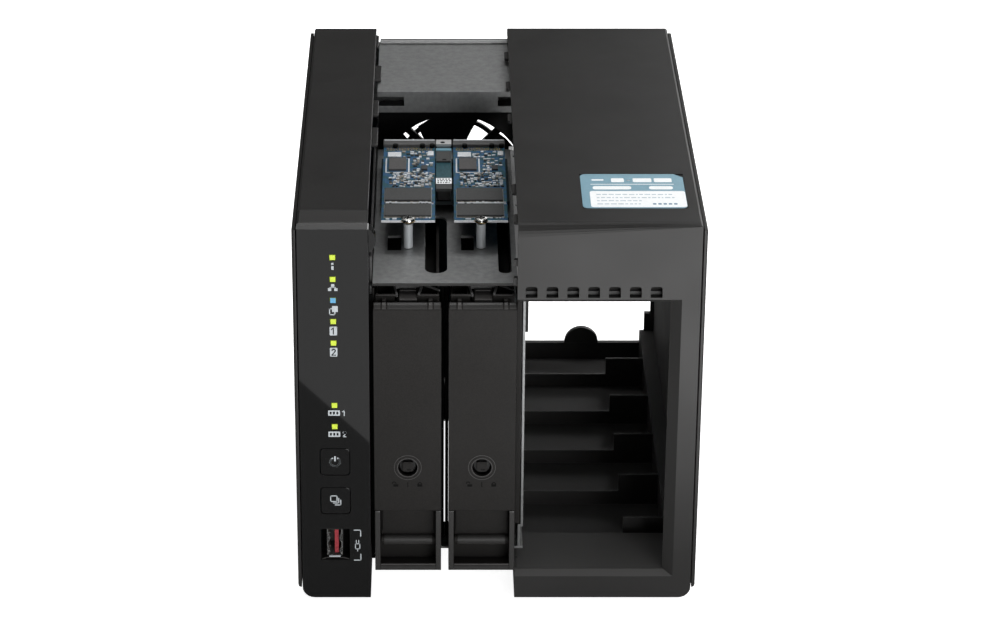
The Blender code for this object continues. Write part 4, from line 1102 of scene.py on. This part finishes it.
def make_mainboard_parts():
    """Small parts, four capacitors and two upright sockets on the main board."""
    main = Piece("mainboard_parts")
    low, high = case_box("mainboard")
    face = high.x
    randomly = random.Random(21)
    upright_parts(main, randomly, "x", face, (low.y + 6, 72), (low.z + 8, high.z - 8), 7.5, 0.5)
    upright_parts(main, randomly, "x", face, (134, 196), (low.z + 118, high.z - 8), 7.5, 0.5)
    for z in (22, 34, 46, 58):
        main.rod((face + 5, 150, z), "x", 3.2, 10, CHIP_DARK, 24, 0.4)
        main.rod((face + 10, 150, z), "x", 2.7, 0.2, NICKEL, 24)
    for y in (172, 182):
        main.box((face, y, 20), (face + 4.5, y + 5.5, 66), DARK, 0.2)
    main.finish("case", "board_teal")


def make_backplane_parts():
    """Small parts on the backplane, and contacts in the two drive sockets."""
    back = Piece("backplane_parts")
    low, high = case_box("backplane")
    upright_parts(back, random.Random(23), "y", high.y, (low.x + 3, high.x - 6), (low.z + 4, low.z + 60),
                  6, 0.5)
    for index in (1, 2):
        socket = f"sata_connector_{index}"
        low, high = case_box(socket)
        middle = case_middle(socket)[0]
        for pin in range(15):
            z = low.z + 5 + pin * 1.27
            back.box((middle - 0.3, low.y + 0.3, z), (middle + 0.3, low.y + 4, z + 0.6), GOLD)
        back.box((middle - 0.9, low.y + 0.8, low.z + 27), (middle + 0.9, low.y + 4.5, high.z - 4.5),
                 CHIP_DARK, 0.1)
    back.finish("case", "board_teal")


make_label()
make_cover_details()
make_front_marks()
make_key_marks()
make_front_usb()
make_card_bay()
for number in (1, 2):
    make_tray_details(number)
    make_drive_details(number)
make_fan()
make_rear_ports()
make_rear_screws()
make_plate_hem()
make_painted_gap_shade()
make_shelf_rim()
make_mainboard_parts()
make_backplane_parts()


# ---- studio
def area_card(name, size, watts, place, turn):
    """A rectangular light that the camera itself doesn't see."""
    data = bpy.data.lights.new(name, "AREA")
    data.shape = "RECTANGLE"
    data.size, data.size_y = size
    data.energy = watts
    light = bpy.data.objects.new(name, data)
    light.location = place
    light.rotation_euler = turn
    light.visible_camera = False
    bpy.context.scene.collection.objects.link(light)
    return light


def aimed_light(name, place, target, size, watts):
    aim = (Vector(target) - Vector(place)).to_track_quat("-Z", "Y")
    return area_card(name, size, watts, place, aim.to_euler())


def floor_card(name, corner, heading, size, radiance):
    """A bright card lying face up in front of the case, which the front faces mirror.

    Its back left corner is at corner, and its left edge runs forward at heading from +X."""
    width, length = size
    toward_back = Vector((math.cos(heading), math.sin(heading), 0))
    toward_right = Vector((math.sin(heading), -math.cos(heading), 0))
    middle = corner - toward_back * length / 2 + toward_right * width / 2
    watts = radiance * math.pi * length * width
    area_card(name, size, watts, middle, (math.pi, 0, heading - math.pi / 2))


def make_studio():
    bpy.ops.mesh.primitive_plane_add(size=30, location=(0, 0, 0))
    floor = bpy.context.object
    floor.name = "studio_floor"
    floor.visible_glossy = False
    material, shader = new_material("studio_white", (0.9, 0.9, 0.9), 0, 0.9, 0)
    tree = material.node_tree
    set_inputs(shader, Base_Color=tint(tree, noise(tree, 3), (0.88, 0.88, 0.88), (0.92, 0.92, 0.92)),
               Emission_Color=(1, 1, 1, 1), Emission_Strength=0.9)
    floor.data.materials.append(material)

    world = bpy.data.worlds.new("studio")
    world.use_nodes = True
    set_inputs(world.node_tree.nodes["Background"], Color=(1, 1, 1, 1), Strength=0.07)
    bpy.context.scene.world = world

    # Each light: name, place, what it aims at, size, watts, and whether it shows in reflections.
    for name, place, target, size, watts, mirrored in (
            ("overhead", (0.1, 0, 1.5), (0, 0, 0), (1.3, 1.3), 16, False),
            ("rear_fill", (0.3, 1.8, 0.5), (0, 0, 0.1), (1.2, 0.8), 12, False),
            ("key", (0.7, -1.7, 0.45), (0, 0, 0.08), (1, 0.8), 14, True),
            ("back_right", (1.5, 1.6, 1.1), (0, 0, 0.1), (1.4, 1.2), 16, True),
            ("back_low", (0.50, 1.35, 0.68), (0, 0.08, 0.16), (0.5, 0.4), 2.6, True)):
        aimed_light(name, place, target, size, watts).visible_glossy = mirrored
    brow = aimed_light("brow_strip", (0.1, 0.62, 1.4), (0, 0, 0.15), (1.2, 0.35), 7.0)
    brow.visible_diffuse = False
    floor_card("left_card", at(60, -63.4, 8), 1.078, (0.3, 0.35), 0.85)
    floor_card("right_card", at(95, -128, 4), math.pi / 2, (0.6, 0.5), 1.9)
    bpy.context.scene.view_settings.view_transform = "Standard"


def make_camera():
    data = bpy.data.cameras.new("camera")
    data.lens = 117
    data.sensor_width = 36
    data.shift_x = 0.065
    data.clip_start = 0.05
    data.clip_end = 60
    tilt_down = math.radians(25.07)
    camera = bpy.data.objects.new("camera", data)
    camera.location = (-0.02551, -1.28527, 0.68144)
    camera.rotation_euler = (math.pi / 2 - tilt_down, 0, 0)
    bpy.context.scene.collection.objects.link(camera)
    bpy.context.scene.camera = camera


make_studio()
make_camera()
